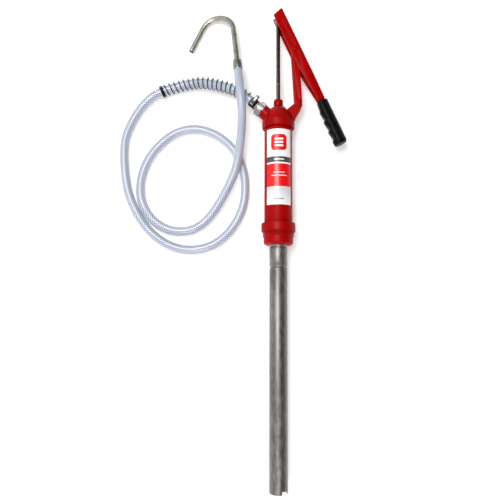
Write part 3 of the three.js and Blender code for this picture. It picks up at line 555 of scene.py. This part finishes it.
def clear_hose():
    """Clear plastic over a fine diagonal braid, from the tube's own two coordinates."""
    m = Nodes("clear_hose")
    turn = m.add("ShaderNodeAttribute", attribute_name="turn").outputs["Fac"]
    run = m.add("ShaderNodeAttribute", attribute_name="run").outputs["Fac"]
    strands = m.math("MULTIPLY", turn, float(HOSE_STRANDS))
    steps = m.math("MULTIPLY", run, 1 / HOSE_LEAD)
    threads = []
    for operation in ("ADD", "SUBTRACT"):
        wave = m.math("PINGPONG", m.math(operation, strands, steps), 0.5)
        threads.append(m.ranged(wave, 1.0, 0.0, 0.08, 0.2))
    braid = m.math("MAXIMUM", *threads)
    cloudy = m.noise(60, 3)
    wall = m.ramp(cloudy, [(0.3, srgb(104, 120, 158)), (0.7, srgb(124, 139, 174))])
    m.set(
        Base_Color=m.mixed(m.math("MULTIPLY", braid, 0.95), wall, srgb(240, 243, 250)),
        Roughness=m.ranged(cloudy, 0.16, 0.28),
        Transmission_Weight=m.ranged(braid, 0.3, 0.05, 0, 1),
        IOR=1.4,
        Coat_Weight=0.7,
        Coat_Roughness=0.14,
    )
    m.bump(braid, 0.00018, 0.7)
    return m.material


LABEL_BOTTOM, LABEL_TOP, LABEL_HALF_ANGLE = 48.3, 193.6, 54.0
LABEL_R = BARREL_R + 0.6


def label_film():
    """Printed film: bands up the label, white above. The lowest white band turns a cool grey towards its top
    edge.
    """
    m = Nodes("label_film")
    y = m.add("ShaderNodeSeparateXYZ", {"Vector": m.coords}).outputs[1]
    low, high = (float(ORIGIN[1] + v * MM) for v in (LABEL_BOTTOM, LABEL_TOP))
    place = m.ranged(y, 0, 1, low, high)
    edge = 0.0008
    bands = [
        (48.3, srgb(246, 246, 247)),
        (81.5, srgb(246, 246, 247)),
        (82.4, srgb(226, 0, 4)),
        (126.3, srgb(248, 248, 248)),
        (129.2, srgb(72, 72, 77)),
        (139.8, srgb(246, 246, 247)),
    ]
    stops = [(0.0, bands[0][1])]
    for i in range(1, len(bands)):
        at = (bands[i][0] - LABEL_BOTTOM) / (LABEL_TOP - LABEL_BOTTOM)
        # The lowest white band is set to a cool grey at its top edge, so it fades from white at its foot to
        # grey under the red band.
        before = srgb(204, 207, 213) if i == 1 else bands[i - 1][1]
        stops += [(at - edge, before), (at + edge, bands[i][1])]
    m.set(
        Base_Color=m.ramp(place, stops),
        Roughness=m.ranged(m.noise(240, 2), 0.3, 0.42),
        Coat_Weight=0.25,
        Coat_Roughness=0.15,
    )
    m.bump(m.noise(800, 2), 0.00002)
    return m.material


def print_ink(name, colour):
    m = Nodes(name)
    light = tuple(min(255, c + 8) for c in colour)
    m.set(
        Base_Color=m.ramp(m.noise(300, 2), [(0.3, srgb(*colour)), (0.7, srgb(*light))]),
        Roughness=m.ranged(m.noise(240, 2), 0.3, 0.42),
    )
    m.bump(m.noise(800, 2), 0.00002)
    return m.material


tube_finish, grip_finish, hose_finish = tube_zinc(), grip_black(), clear_hose()
rubber_finish, label_finish = rubber_black(), label_film()

# ------------------------------------------------------------------ camera

CAMERA_PLACE = (-52.6, -167.8, 1064.0)
CAMERA_TILT, CAMERA_TURN = math.radians(7.16), math.radians(0.31)
camera = bpy.data.objects.new("camera", bpy.data.cameras.new("camera"))
scene.collection.objects.link(camera)
camera.location = [float(v) for v in world([CAMERA_PLACE])[0]]
camera.rotation_euler = (CAMERA_TILT, 0, CAMERA_TURN)
camera.data.sensor_width = 36
camera.data.lens = 41.04
camera.data.clip_start = 0.05
scene.camera = camera

# ------------------------------------------------------------------ hose and what is on it

OUTLET_DIRECTION = np.array([-math.sin(OUTLET_TILT), math.cos(OUTLET_TILT), 0])


def outlet_point(distance):
    """A point on the outlet's axis, that far past the boss's face."""
    return np.array([0, OUTLET_CROSSING, 0]) + OUTLET_DIRECTION * (BOSS_FACE + distance)


leg = np.subtract(SPOUT_TIP, SPOUT_LEG_TOP)
leg = leg / np.linalg.norm(leg)


def spout_point(x, y):
    away = (x - SPOUT_TIP[0]) * -leg[1] + (y - SPOUT_TIP[1]) * leg[0]
    return np.array([x, y, SPOUT_R + 0.3 + SPOUT_SLOPE * away - AXIS_HEIGHT])


bend = [spout_point(*p) for p in arc(SPOUT_BEND_CENTRE, SPOUT_BEND_R, *SPOUT_BEND, 48)]
stem_foot = spout_point(*STEM_FOOT)
stem = (bend[0] - stem_foot) / np.linalg.norm(bend[0] - stem_foot)
hose_end = stem_foot - stem * COLLAR_LENGTH

hose_line = smooth_line(
    [outlet_point(16), outlet_point(30), outlet_point(45)]
    + [(x, y, h - AXIS_HEIGHT) for x, y, h in HOSE_ROUTE]
    + [hose_end - stem * 32, hose_end - stem * 14, hose_end]
)
HOSE_LENGTH = float(lengths(hose_line)[-1])
hose_line = at_lengths(hose_line, np.linspace(0, HOSE_LENGTH, 620))
HOSE_SIDES = 40
hose = piece(
    "delivery_hose",
    *pipe(hose_line, HOSE_R, HOSE_BORE_R, HOSE_SIDES),
    "pump",
    hose_finish,
    ["hose"],
    "clear_hose",
    sharp=60,
)


def braid_coordinates(o, line, sides):
    """Gives each point of a pipe its turn round the tube and its run along it, in millimetres."""
    n = len(line)
    turn = np.tile(np.arange(sides) / sides, 2 * n)
    run = lengths(line)
    run = np.repeat(np.concatenate([run, run[::-1]]), sides)
    for name, values in (("turn", turn), ("run", run)):
        attribute = o.data.attributes.new(name, "FLOAT", "POINT")
        attribute.data.foreach_set("value", values.astype(np.float32))


braid_coordinates(hose, hose_line, HOSE_SIDES)


def spring_line():
    """A helix round the hose: open turns, then a few closed ones at the far end."""
    pitch, closed_pitch, closed_turns = 9.6, SPRING_WIRE + 0.08, 3
    open_length = SPRING_LENGTH - SPRING_WIRE - closed_pitch * closed_turns
    turns = open_length / pitch
    steps = 26
    t = np.arange(0, (turns + closed_turns) * steps + 1) / steps
    run = np.where(t < turns, t * pitch, open_length + (t - turns) * closed_pitch)
    line = at_lengths(hose_line, SPRING_START + SPRING_WIRE / 2 + run)
    count = 600
    middle = at_lengths(hose_line, np.linspace(SPRING_START, SPRING_START + SPRING_LENGTH, count))
    _, n, b = frames_along(middle)
    where = run / SPRING_LENGTH * (count - 1)
    low = np.clip(where.astype(int), 0, count - 1)
    a = 2 * math.pi * t
    r = SPRING_R - SPRING_WIRE / 2
    return line + r * (np.cos(a)[:, None] * n[low] + np.sin(a)[:, None] * b[low])


spring = piece(
    "spring_coil",
    *wire(spring_line(), SPRING_WIRE / 2, 12),
    "pump",
    spring_dark,
    ["spring_guard"],
    "spring_steel",
    sharp=60,
)

CLAMP_FROM, CLAMP_WIDTH, BAND_INNER, BAND_OUTER = BOSS_FACE + 18, 14.0, 8.8, 9.8


def clamp_slots(r, y, a):
    """Presses a row of slanting slots into the band."""
    inside = abs(y - CLAMP_FROM - CLAMP_WIDTH / 2) < 3.6
    phase = (a / (2 * math.pi) * 20 + (y - CLAMP_FROM) * 0.02) % 1
    if r > BAND_OUTER - 0.2 and inside and phase < 0.42:
        return r - 0.5, y
    return r, y


band_ends = [CLAMP_FROM + 1.6 + (CLAMP_WIDTH - 3.2) * i / 24 for i in range(25)]
band = piece(
    "clamp_strap",
    *carried(
        on_outlet,
        lathe(
            [(BAND_INNER, CLAMP_FROM), (BAND_OUTER + 0.3, CLAMP_FROM), (BAND_OUTER + 0.6, CLAMP_FROM + 0.4)]
            + [(BAND_OUTER + 0.4, CLAMP_FROM + 0.9)]
            + [(BAND_OUTER, y) for y in band_ends]
            + [
                (BAND_OUTER + 0.4, CLAMP_FROM + CLAMP_WIDTH - 0.9),
                (BAND_OUTER + 0.6, CLAMP_FROM + CLAMP_WIDTH - 0.4),
                (BAND_OUTER + 0.3, CLAMP_FROM + CLAMP_WIDTH),
                (BAND_INNER, CLAMP_FROM + CLAMP_WIDTH),
            ],
            160,
            clamp_slots,
        ),
    ),
    "pump",
    clamp_dark,
    ["clamp_band"],
    "clamp_steel",
    sharp=30,
)

HOUSING_LOW = BAND_OUTER + 0.9
housing_outline = soften(
    [
        (-4.25, HOUSING_LOW), (4.25, HOUSING_LOW), (4.25, HOUSING_LOW + 3.2),
        (2.7, HOUSING_LOW + 6), (-2.7, HOUSING_LOW + 6), (-4.25, HOUSING_LOW + 3.2),
    ],
    1.3,
    4,
    closed=True,
)  # fmt: skip


def housing_shell():
    """The worm's housing: a rounded hood across the hose, lipped at both ends."""
    stations = [
        (-8.5, 0.94), (-8.1, 1), (-7.2, 1), (-6.9, 0.93), (6.9, 0.93), (7.2, 1), (8.1, 1), (8.5, 0.94),
    ]  # fmt: skip
    middle = HOUSING_LOW + 3
    rows = [
        [(x, CLAMP_FROM + CLAMP_WIDTH / 2 + u * k, middle + (w - middle) * k) for u, w in housing_outline]
        for x, k in stations
    ]
    ends = [[tuple(np.mean(rows[0], axis=0))], [tuple(np.mean(rows[-1], axis=0))]]
    return skin([ends[0]] + rows + [ends[1]], ring=False)


housing = piece(
    "clamp_hood",
    *carried(on_outlet, housing_shell()),
    "pump",
    zinc,
    ["clamp_housing"],
    "zinc_steel",
    sharp=40,
)


def hexed(across, profile, segments=96):
    """A profile about Y held inside a hexagon."""

    def warp(r, y, a):
        flat = across / 2 / math.cos((a + math.pi / 6) % (math.pi / 3) - math.pi / 6)
        return min(r, flat), y

    return lathe(profile, segments, warp)


def worm_screw():
    """The worm's hexagon head, dished, on the +X side."""
    profile = [
        (0, 8.7), (3.6, 8.7), (3.8, 9.0), (3.8, 12.2), (3.3, 12.7), (2.2, 12.7), (2.1, 12.1), (0, 12.1),
    ]  # fmt: skip
    verts, faces = hexed(6.6, profile, 48)
    p = np.array(verts)
    middle = CLAMP_FROM + CLAMP_WIDTH / 2
    return np.stack([p[:, 1], middle - p[:, 0], HOUSING_LOW + 3 + p[:, 2]], axis=1), faces


screw = piece(
    "clamp_worm", *carried(on_outlet, worm_screw()), "pump", zinc, ["clamp_screw"], "zinc_steel", sharp=30
)

collar_profile = soften(
    [
        (4.2, -28), (5.2, -28), (5.2, 0.3), (8.2, 0.3), (9, 1.1), (9, 4.6), (8.55, 5.1), (8.55, 6.1),
        (9, 6.6), (9, 19.5), (7.8, 21), (5.75, 21), (5.75, 12), (4.2, 12),
    ],
    0.5,
    2,
    closed=True,
)  # fmt: skip
collar = piece(
    "spout_ferrule",
    *carried(lambda p: along(p, hose_end, stem), lathe(collar_profile, 80)),
    "pump",
    zinc,
    ["spout_collar"],
    "zinc_steel",
    sharp=30,
)

tube_foot = hose_end + stem * (COLLAR_LENGTH - 11.5)
leg_end = spout_point(*SPOUT_TIP)
stem_run = [tube_foot + (bend[0] - tube_foot) * i / 24 for i in range(24)]
leg_run = [bend[-1] + (leg_end - bend[-1]) * i / 16 for i in range(1, 17)]
spout_line = np.array(stem_run + bend + leg_run)
for _ in range(6):
    spout_line[1:-1] = (spout_line[:-2] + 2 * spout_line[1:-1] + spout_line[2:]) / 4
spout = piece(
    "hooked_spout",
    *pipe(spout_line, SPOUT_R, SPOUT_R - SPOUT_WALL, 56),
    "pump",
    spout_zinc,
    ["spout_tube"],
    "spout_steel",
    sharp=30,
)

# ------------------------------------------------------------------ bung adaptor and barrel


def adaptor_thread(r, y, a):
    """A running thread, fading out at both ends."""
    if THREAD_END < y < -1 and r > PILOT_R:
        turn = (y / THREAD_PITCH + a / (2 * math.pi)) % 1
        crest = 1 - abs(2 * turn - 1)
        fade = min(1, (y - THREAD_END) / 1.5, (-1 - y) / 1.2)
        return THREAD_R - THREAD_DEPTH + THREAD_DEPTH * crest * max(0, fade), y
    return r, y


thread_rows = [(THREAD_R - THREAD_DEPTH, -9.69 + 8.68 * i / 44) for i in range(45)]
adaptor_profile = (
    soften(
        [(17.15, -PILOT_LENGTH), (25, -PILOT_LENGTH), (PILOT_R, -21.7), (PILOT_R, -10.2)], 1.6, 4
    )
    + thread_rows
    + soften(
        [
            (THREAD_LAND_R, -0.9), (THREAD_LAND_R, 0), (COLLAR_R, 0), (COLLAR_R, COLLAR_HEIGHT),
            (27.05, COLLAR_HEIGHT), (27.05, 6),
        ],
        1.3,
        5,
    )
    + [(14, 6), (14, 3), (17.15, 3)]
)  # fmt: skip
piece(
    "bung_collar",
    *lathe(adaptor_profile, 144, adaptor_thread),
    "pump",
    cast_red,
    ["bung_adaptor"],
    "cast_red",
)
inner_r = BARREL_R - BARREL_WALL
barrel_profile = soften(
    [(inner_r, BARREL_BOTTOM), (BARREL_R, BARREL_BOTTOM), (BARREL_R, BARREL_TOP), (inner_r, BARREL_TOP)],
    0.6,
    2,
    closed=True,
)
piece("pump_barrel", *lathe(barrel_profile, 144), "pump", cast_red, ["barrel"], "cast_red")


def patch(across, along_y, middle_across, middle_y, corner, inner, outer, columns=24):
    """A thin rounded rectangle wrapped round the barrel, on its upper side."""
    half, high = across / 2, along_y / 2
    steps = 7
    lifts = [corner * (1 - math.cos(math.pi / 2 * k / steps)) for k in range(steps + 1)]
    ys = [-high + v for v in lifts] + [high - v for v in reversed(lifts)]
    outside, inside = [], []
    for y in ys:
        down = max(0.0, corner - (high - abs(y)))
        width = half - corner + math.sqrt(max(0.0, corner**2 - down**2))
        out_row, in_row = [], []
        for c in range(columns + 1):
            s = middle_across + width * (2 * c / columns - 1)
            a = s / outer
            for r, row in ((outer, out_row), (inner, in_row)):
                row.append((r * math.sin(a), middle_y + y, r * math.cos(a)))
        outside.append(out_row)
        inside.append(in_row)
    rows = len(ys)
    n = columns + 1
    verts = [p for row in outside + inside for p in row]
    base = rows * n
    faces = []
    for i in range(rows - 1):
        for c in range(columns):
            a, b = i * n + c, (i + 1) * n + c
            faces.append((a, a + 1, b + 1, b))
            faces.append((base + a, base + b, base + b + 1, base + a + 1))
    for i in range(rows - 1):
        for c in (0, columns):
            a, b = i * n + c, (i + 1) * n + c
            faces.append((a, b, base + b, base + a))
    for c in range(columns):
        for i in (0, rows - 1):
            a = i * n + c
            faces.append((a, a + 1, base + a + 1, base + a))
    return verts, faces


label_width = 2 * math.radians(LABEL_HALF_ANGLE) * LABEL_R
label_middle = (LABEL_BOTTOM + LABEL_TOP) / 2
piece(
    "label_sheet",
    *patch(label_width, LABEL_TOP - LABEL_BOTTOM, 0, label_middle, 1.2, BARREL_R + 0.05, LABEL_R, 48),
    "pump",
    label_finish,
    ["label"],
    "label",
    sharp=50,
)
INK_R = LABEL_R + 0.06
ink_red, ink_white, ink_grey = (
    print_ink("ink_red", (222, 0, 6)),
    print_ink("ink_white", (244, 244, 245)),
    print_ink("ink_grey", (128, 130, 138)),
)
piece(
    "label_mark", *patch(31, 31, 0, 167.5, 7, LABEL_R - 0.1, INK_R), "pump", ink_red, (), "label", sharp=50
)
bars = [(17, 3.4, 174), (17, 3.4, 167.5), (17, 3.4, 161)]
piece(
    "label_mark_bars",
    *joined(*[patch(w, h, 0, y, 1.2, LABEL_R - 0.1, INK_R + 0.06) for w, h, y in bars]),
    "pump",
    ink_white,
    (),
    "label",
    sharp=50,
)
bars = [(20, 2.2, 134.5), (22, 1.4, 109.5), (30, 1.4, 103.5)]
piece(
    "label_lines",
    *joined(*[patch(w, h, 0, y, 0.8, LABEL_R - 0.1, INK_R) for w, h, y in bars]),
    "pump",
    ink_white,
    (),
    "label",
    sharp=50,
)
piece(
    "label_code", *patch(20, 1.8, 0, 59, 0.6, LABEL_R - 0.1, INK_R), "pump", ink_grey, (), "label", sharp=50
)

# ------------------------------------------------------------------ head casting


def head_casting():
    """Dome, cap, outlet boss and bracket arm, run together as one casting with soft corners."""
    dome = lathe(
        soften(
            [
                (27.05, CAP_BOTTOM), (CAP_R, CAP_BOTTOM), (CAP_R, CAP_TOP), (28, CAP_TOP),
                (27.6, 220), (26.3, 225),
                (24, 230), (20.9, 235), (17.2, 239.7), (13, 243.6), (9.3, DOME_TOP), (7, DOME_TOP), (7, 238),
                (4.35, 238), (4.35, 234.5), (13.5, 234.5), (19.5, 226.5), (22.45, 219), (22.45, 213.5),
                (27.05, 213.5),
            ],
            1.0,
            3,
            closed=True,
        ),
        120,
    )  # fmt: skip
    boss_profile = [
        (0, 23), (BOSS_R, 23), (BOSS_R, 38.1), (BOSS_R - 0.5, BOSS_FACE), (0, BOSS_FACE),
    ]  # fmt: skip
    boss = carried(on_outlet, lathe(boss_profile, 64))
    ear = arc(BRACKET_PIVOT, 7, 165, -12, 16)
    arm = slab(
        [(20.5, 229), (17.5, 240.5), (31.6, 252.4)]
        + ear
        + [(46.8, 249.6), (43, 239.8), (33.6, 223), (30.8, 214), (27.3, 211)],
        -EAR_HALF,
        EAR_HALF,
    )
    verts, faces = joined(dome, boss, arm)
    o = piece("head_casting", verts, faces, "pump", cast_red, ["pump_head"], "cast_red")
    modified(o, "REMESH", mode="VOXEL", voxel_size=0.0006, use_smooth_shade=True)
    applied(o)
    modified(o, "SMOOTH", factor=0.5, iterations=6)
    applied(o)
    o.data.shade_smooth()


head_casting()
piece(
    "outlet_stub",
    *carried(on_outlet, lathe([(5.5, 37), (10.2, 37), (10.2, 46.4), (5.5, 46.4)], 64)),
    "pump",
    cast_red,
    (),
    "cast_red",
)
gland_profile = soften(
    [
        (4.35, 243.2), (6.7, 243.2), (6.7, 246.5), (GLAND_R, 246.5), (GLAND_R, 257), (8.2, 259.4),
        (6.35, GLAND_TOP), (4.35, GLAND_TOP),
    ],
    0.9,
    4,
    closed=True,
)  # fmt: skip
piece("gland_cap", *lathe(gland_profile, 72), "pump", cast_red, ["gland_nut"], "cast_red")

nut_profile = (
    [(10.5, BOSS_FACE + 0.3), (12.6, BOSS_FACE + 0.3), (13.6, BOSS_FACE + 0.5)]
    + [(15.6, BOSS_FACE + 1.9), (15.6, BOSS_FACE + 12.4)]
    + [(13.6, BOSS_FACE + 13.8), (12.6, BOSS_FACE + NUT_LENGTH), (7.4, BOSS_FACE + NUT_LENGTH)]
    + [(6.8, BOSS_FACE + 13.4), (6.8, BOSS_FACE + 11.6), (10.5, BOSS_FACE + 11.6)]
)
piece(
    "union_hexagon",
    *carried(on_outlet, hexed(NUT_ACROSS, nut_profile, 120)),
    "pump",
    nickel,
    ["union_nut"],
    "nickel_steel",
    sharp=24,
)

# ------------------------------------------------------------------ suction tube and rod


def grooved(radius, start, end):
    """Points along a wall, pressed in at each rolled groove."""
    step = 1 if end > start else -1
    out = [(radius, start)]
    for middle in sorted(GROOVES, reverse=step < 0):
        for k in range(-6, 7):
            y = middle + step * 2.6 * k / 6
            out.append((radius - GROOVE_DEPTH * math.cos(math.pi / 2 * k / 6) ** 1.5, y))
    out.append((radius, end))
    return out


def notched(r, y, a):
    """Cuts the two notches at the tube's mouth."""
    if y > TUBE_END + 2:
        return r, y
    off = (math.degrees(a) - NOTCH_ANGLE + 90) % 180 - 90
    lift = NOTCH_HEIGHT if abs(off) < NOTCH_HALF_SPAN else 0
    return r, y + lift


tube_inner = TUBE_R - TUBE_WALL
tube_profile = (
    [(tube_inner + 0.4, TUBE_END), (TUBE_R - 0.4, TUBE_END)]
    + grooved(TUBE_R, TUBE_END + 0.4, TUBE_TOP)
    + grooved(tube_inner, TUBE_TOP, TUBE_END + 0.4)
)
# a row above the notches keeps their stretch short
tube_profile.insert(3, (TUBE_R, TUBE_END + 12))
tube_profile.insert(len(tube_profile) - 1, (tube_inner, TUBE_END + 12))
piece(
    "drawn_tube",
    *lathe(tube_profile, 180, notched),
    "pump",
    tube_finish,
    ["suction_tube"],
    "tube_steel",
    sharp=30,
)

rod_top = ROD_PIVOT[1] - 6
rod_profile = [
    (0, ROD_BOTTOM), (3.5, ROD_BOTTOM), (ROD_R, ROD_BOTTOM + 0.6), (ROD_R, rod_top), (0, rod_top),
]  # fmt: skip
rod_shape = lathe(rod_profile, 48)
eye_profile = soften([(4.3, -7), (6.5, -7), (6.5, 7), (4.3, 7)], 0.6, 3, closed=True)
rod_eye = carried(lambda p: along_z(p, ROD_PIVOT), lathe(eye_profile, 56))
piece("bright_rod", *joined(rod_shape, rod_eye), "rod", rod_bright, ["piston_rod"], "rod_steel", sharp=30)

# ------------------------------------------------------------------ linkage


def eased(node, name, width, body, material, segments=3):
    """A CAD node's shape with its edges rounded, as a pressed and painted sheet has them."""
    bm = bmesh.new()
    bm.from_mesh(nodes[node].data)
    bmesh.ops.remove_doubles(bm, verts=bm.verts, dist=0.000004)
    bmesh.ops.dissolve_limit(
        bm, angle_limit=math.radians(1.5), verts=bm.verts, edges=bm.edges
    )
    mesh = bpy.data.meshes.new(name)
    bm.to_mesh(mesh)
    bm.free()
    o = placed(name, mesh, body, material, [node])
    modified(
        o,
        "BEVEL",
        width=width * MM,
        segments=segments,
        limit_method="ANGLE",
        angle_limit=math.radians(40),
        use_clamp_overlap=True,
    )
    applied(o)
    o.data.shade_smooth()
    o.data.set_sharp_from_angle(angle=math.radians(38))


eased("lever", "pressed_lever", 0.9, "lever", sheet_red)
eased("link", "pressed_link", 0.8, "link", sheet_red)


def pin_profile(half):
    return soften(
        [(0, -half - 1.5), (4.6, -half - 1.5), (5.6, -half - 0.9), (5.6, -half - 0.3), (4, -half - 0.3)]
        + [(4, half + 0.3), (5.6, half + 0.3), (5.6, half + 0.9), (4.6, half + 1.5), (0, half + 1.5)],
        0.5,
        3,
    )


for name, node, at, half, body in (
    ("lower_rivet", "bracket_pin", BRACKET_PIVOT, LINK_OUTER, "pump"),
    ("upper_rivet", "lever_pin", LEVER_PIVOT, LEVER_OUTER, "lever"),
):
    shape = carried(lambda p, at=at: along_z(p, at), lathe(pin_profile(half), 56))
    piece(name, *shape, body, sheet_red, [node], "sheet_red", sharp=30)

for name, node, side in (
    ("rod_rivet_top", "rod_pin_head_front", 1),
    ("rod_rivet_under", "rod_pin_head_back", -1),
):
    head_outline = soften(
        [(0, 9.1), (3.7, 9.1), (3.7, 11.9), (5.6, 11.9), (5.6, 12.5), (4.8, 13.1), (0, 13.1)], 0.4
    )
    verts, faces = lathe([(r, y * side) for r, y in head_outline], 56)
    piece(
        name,
        *carried(lambda p: along_z(p, ROD_PIVOT), (verts, faces)),
        "lever",
        sheet_red,
        [node],
        "sheet_red",
        sharp=30,
    )


def finger_side(u):
    """How far the grip's finger side stands out at a place along the lever."""
    place = max(0.0, u - GRIP_START)
    for (start, low), (stop, high) in zip(GRIP_FRONT, GRIP_FRONT[1:]):
        if place <= stop:
            eased_by = (1 - math.cos(math.pi * (place - start) / (stop - start))) / 2
            return low + (high - low) * eased_by
    return GRIP_FRONT[-1][1]


def grip_shape():
    """A moulded sleeve, oval in section, with finger grooves and a rounded, rimmed end."""
    end = GRIP_START + GRIP_LENGTH
    stations = [(GRIP_START, 0.86), (GRIP_START + 0.3, 0.93)]
    stations += [(GRIP_START + 1, 0.985), (GRIP_START + 1.8, 1)]
    stations += [(GRIP_START + 3 + (GRIP_LENGTH - 12) * i / 90, 1) for i in range(91)]
    rim = [(8.2, 1.0), (7.8, 1.012), (6.6, 1.02), (5.6, 1.012), (5.2, 0.99), (4.4, 0.985)]
    stations += [(end - d, k) for d, k in rim]
    stations += [
        (end - 4 + 4 * math.sin(t), 0.72 + 0.26 * math.cos(t))
        for t in np.linspace(0.1, math.pi / 2, 8)
    ]
    sides = 72
    rows = [[(GRIP_START, 0.0, 0.0)]]
    for u, k in stations:
        front = finger_side(u)
        row = []
        for i in range(sides):
            a = 2 * math.pi * i / sides
            v, w = math.cos(a), math.sin(a)
            row.append((u, k * v * (GRIP_BACK if v > 0 else front), k * w * GRIP_HALF))
        rows.append(row)
    rows.append([(end, 0.0, 0.0)])
    return skin(rows, ring=False)


piece(
    "moulded_grip", *carried(on_lever, grip_shape()), "lever", grip_finish, ["grip"], "grip_black", sharp=50
)

# ------------------------------------------------------------------ carried CAD nodes

carried_finishes = {
    "base_gasket": rubber_finish,
    "head_gasket": rubber_finish,
    "gland_packing": rubber_finish,
    "outlet_washer": rubber_finish,
    "piston_seal": rubber_finish,
    "hose_tail": zinc,
    "tube_nipple": tube_finish,
    "foot_valve_seat": brass,
    "foot_valve_cage": brass,
    "foot_valve_ball": rod_bright,
    "piston_body": brass,
    "piston_nut": zinc,
    "piston_valve_disc": rod_bright,
    "valve_stop": rod_bright,
    "rod_pin": rod_bright,
}
for node, finish in carried_finishes.items():
    data = nodes[node].data
    data.materials.clear()
    data.materials.append(finish)

# ------------------------------------------------------------------ floor, light and finish


def floor_finish():
    m = Nodes("floor_finish")
    m.set(
        Base_Color=m.ramp(m.noise(3, 2), [(0.3, (0.91, 0.91, 0.91, 1)), (0.7, (0.93, 0.93, 0.93, 1))]),
        Roughness=0.9,
        Specular_IOR_Level=0.1,
        Emission_Color=(1, 1, 1, 1),
        Emission_Strength=0.3,
    )
    return m.material


floor_mesh = bpy.data.meshes.new("floor")
FLOOR_HALF = 6.0
floor_mesh.from_pydata(
    [(x * FLOOR_HALF, y * FLOOR_HALF, 0) for x, y in ((-1, -1), (1, -1), (1, 1), (-1, 1))],
    [],
    [(0, 1, 2, 3)],
)
floor = bpy.data.objects.new("floor", floor_mesh)
scene.collection.objects.link(floor)
floor_mesh.materials.append(floor_finish())

world_light = bpy.data.worlds.new("studio")
scene.world = world_light
world_light.use_nodes = True
sky = world_light.node_tree
background = sky.nodes["Background"]
direction = sky.nodes.new("ShaderNodeTexCoord").outputs["Generated"]
lean = sky.nodes.new("ShaderNodeVectorMath")
lean.operation = "DOT_PRODUCT"
lean.inputs[1].default_value = (0.45, 0.1, 0.85)
shade = sky.nodes.new("ShaderNodeValToRGB")
sky.links.new(direction, lean.inputs[0])
sky.links.new(lean.outputs["Value"], shade.inputs[0])
sky.links.new(shade.outputs[0], background.inputs["Color"])
shade.color_ramp.elements[0].color = (1, 1, 1, 1)
shade.color_ramp.elements[0].position = 0.05
shade.color_ramp.elements[1].color = (0.1, 0.1, 0.1, 1)
shade.color_ramp.elements[1].position = 0.85
background.inputs["Strength"].default_value = 0.75


def area(name, place, target, size, watts):
    light = bpy.data.lights.new(name, "AREA")
    light.shape = "RECTANGLE"
    light.size, light.size_y = size
    light.energy = watts
    o = bpy.data.objects.new(name, light)
    scene.collection.objects.link(o)
    o.location = place
    away = np.subtract(place, target)
    away = away / np.linalg.norm(away)
    yaw = math.atan2(away[0], -away[1])
    o.rotation_euler = (math.acos(away[2]), 0, yaw)


area("key", (-0.45, 0.45, 1.75), (-0.05, 0, 0), (0.7, 0.9), 25)
area("low", (-0.1, -1.05, 1.0), (0, -0.35, 0), (0.5, 0.35), 7)
scene.view_settings.view_transform = "Standard"
scene.view_settings.look = "None"
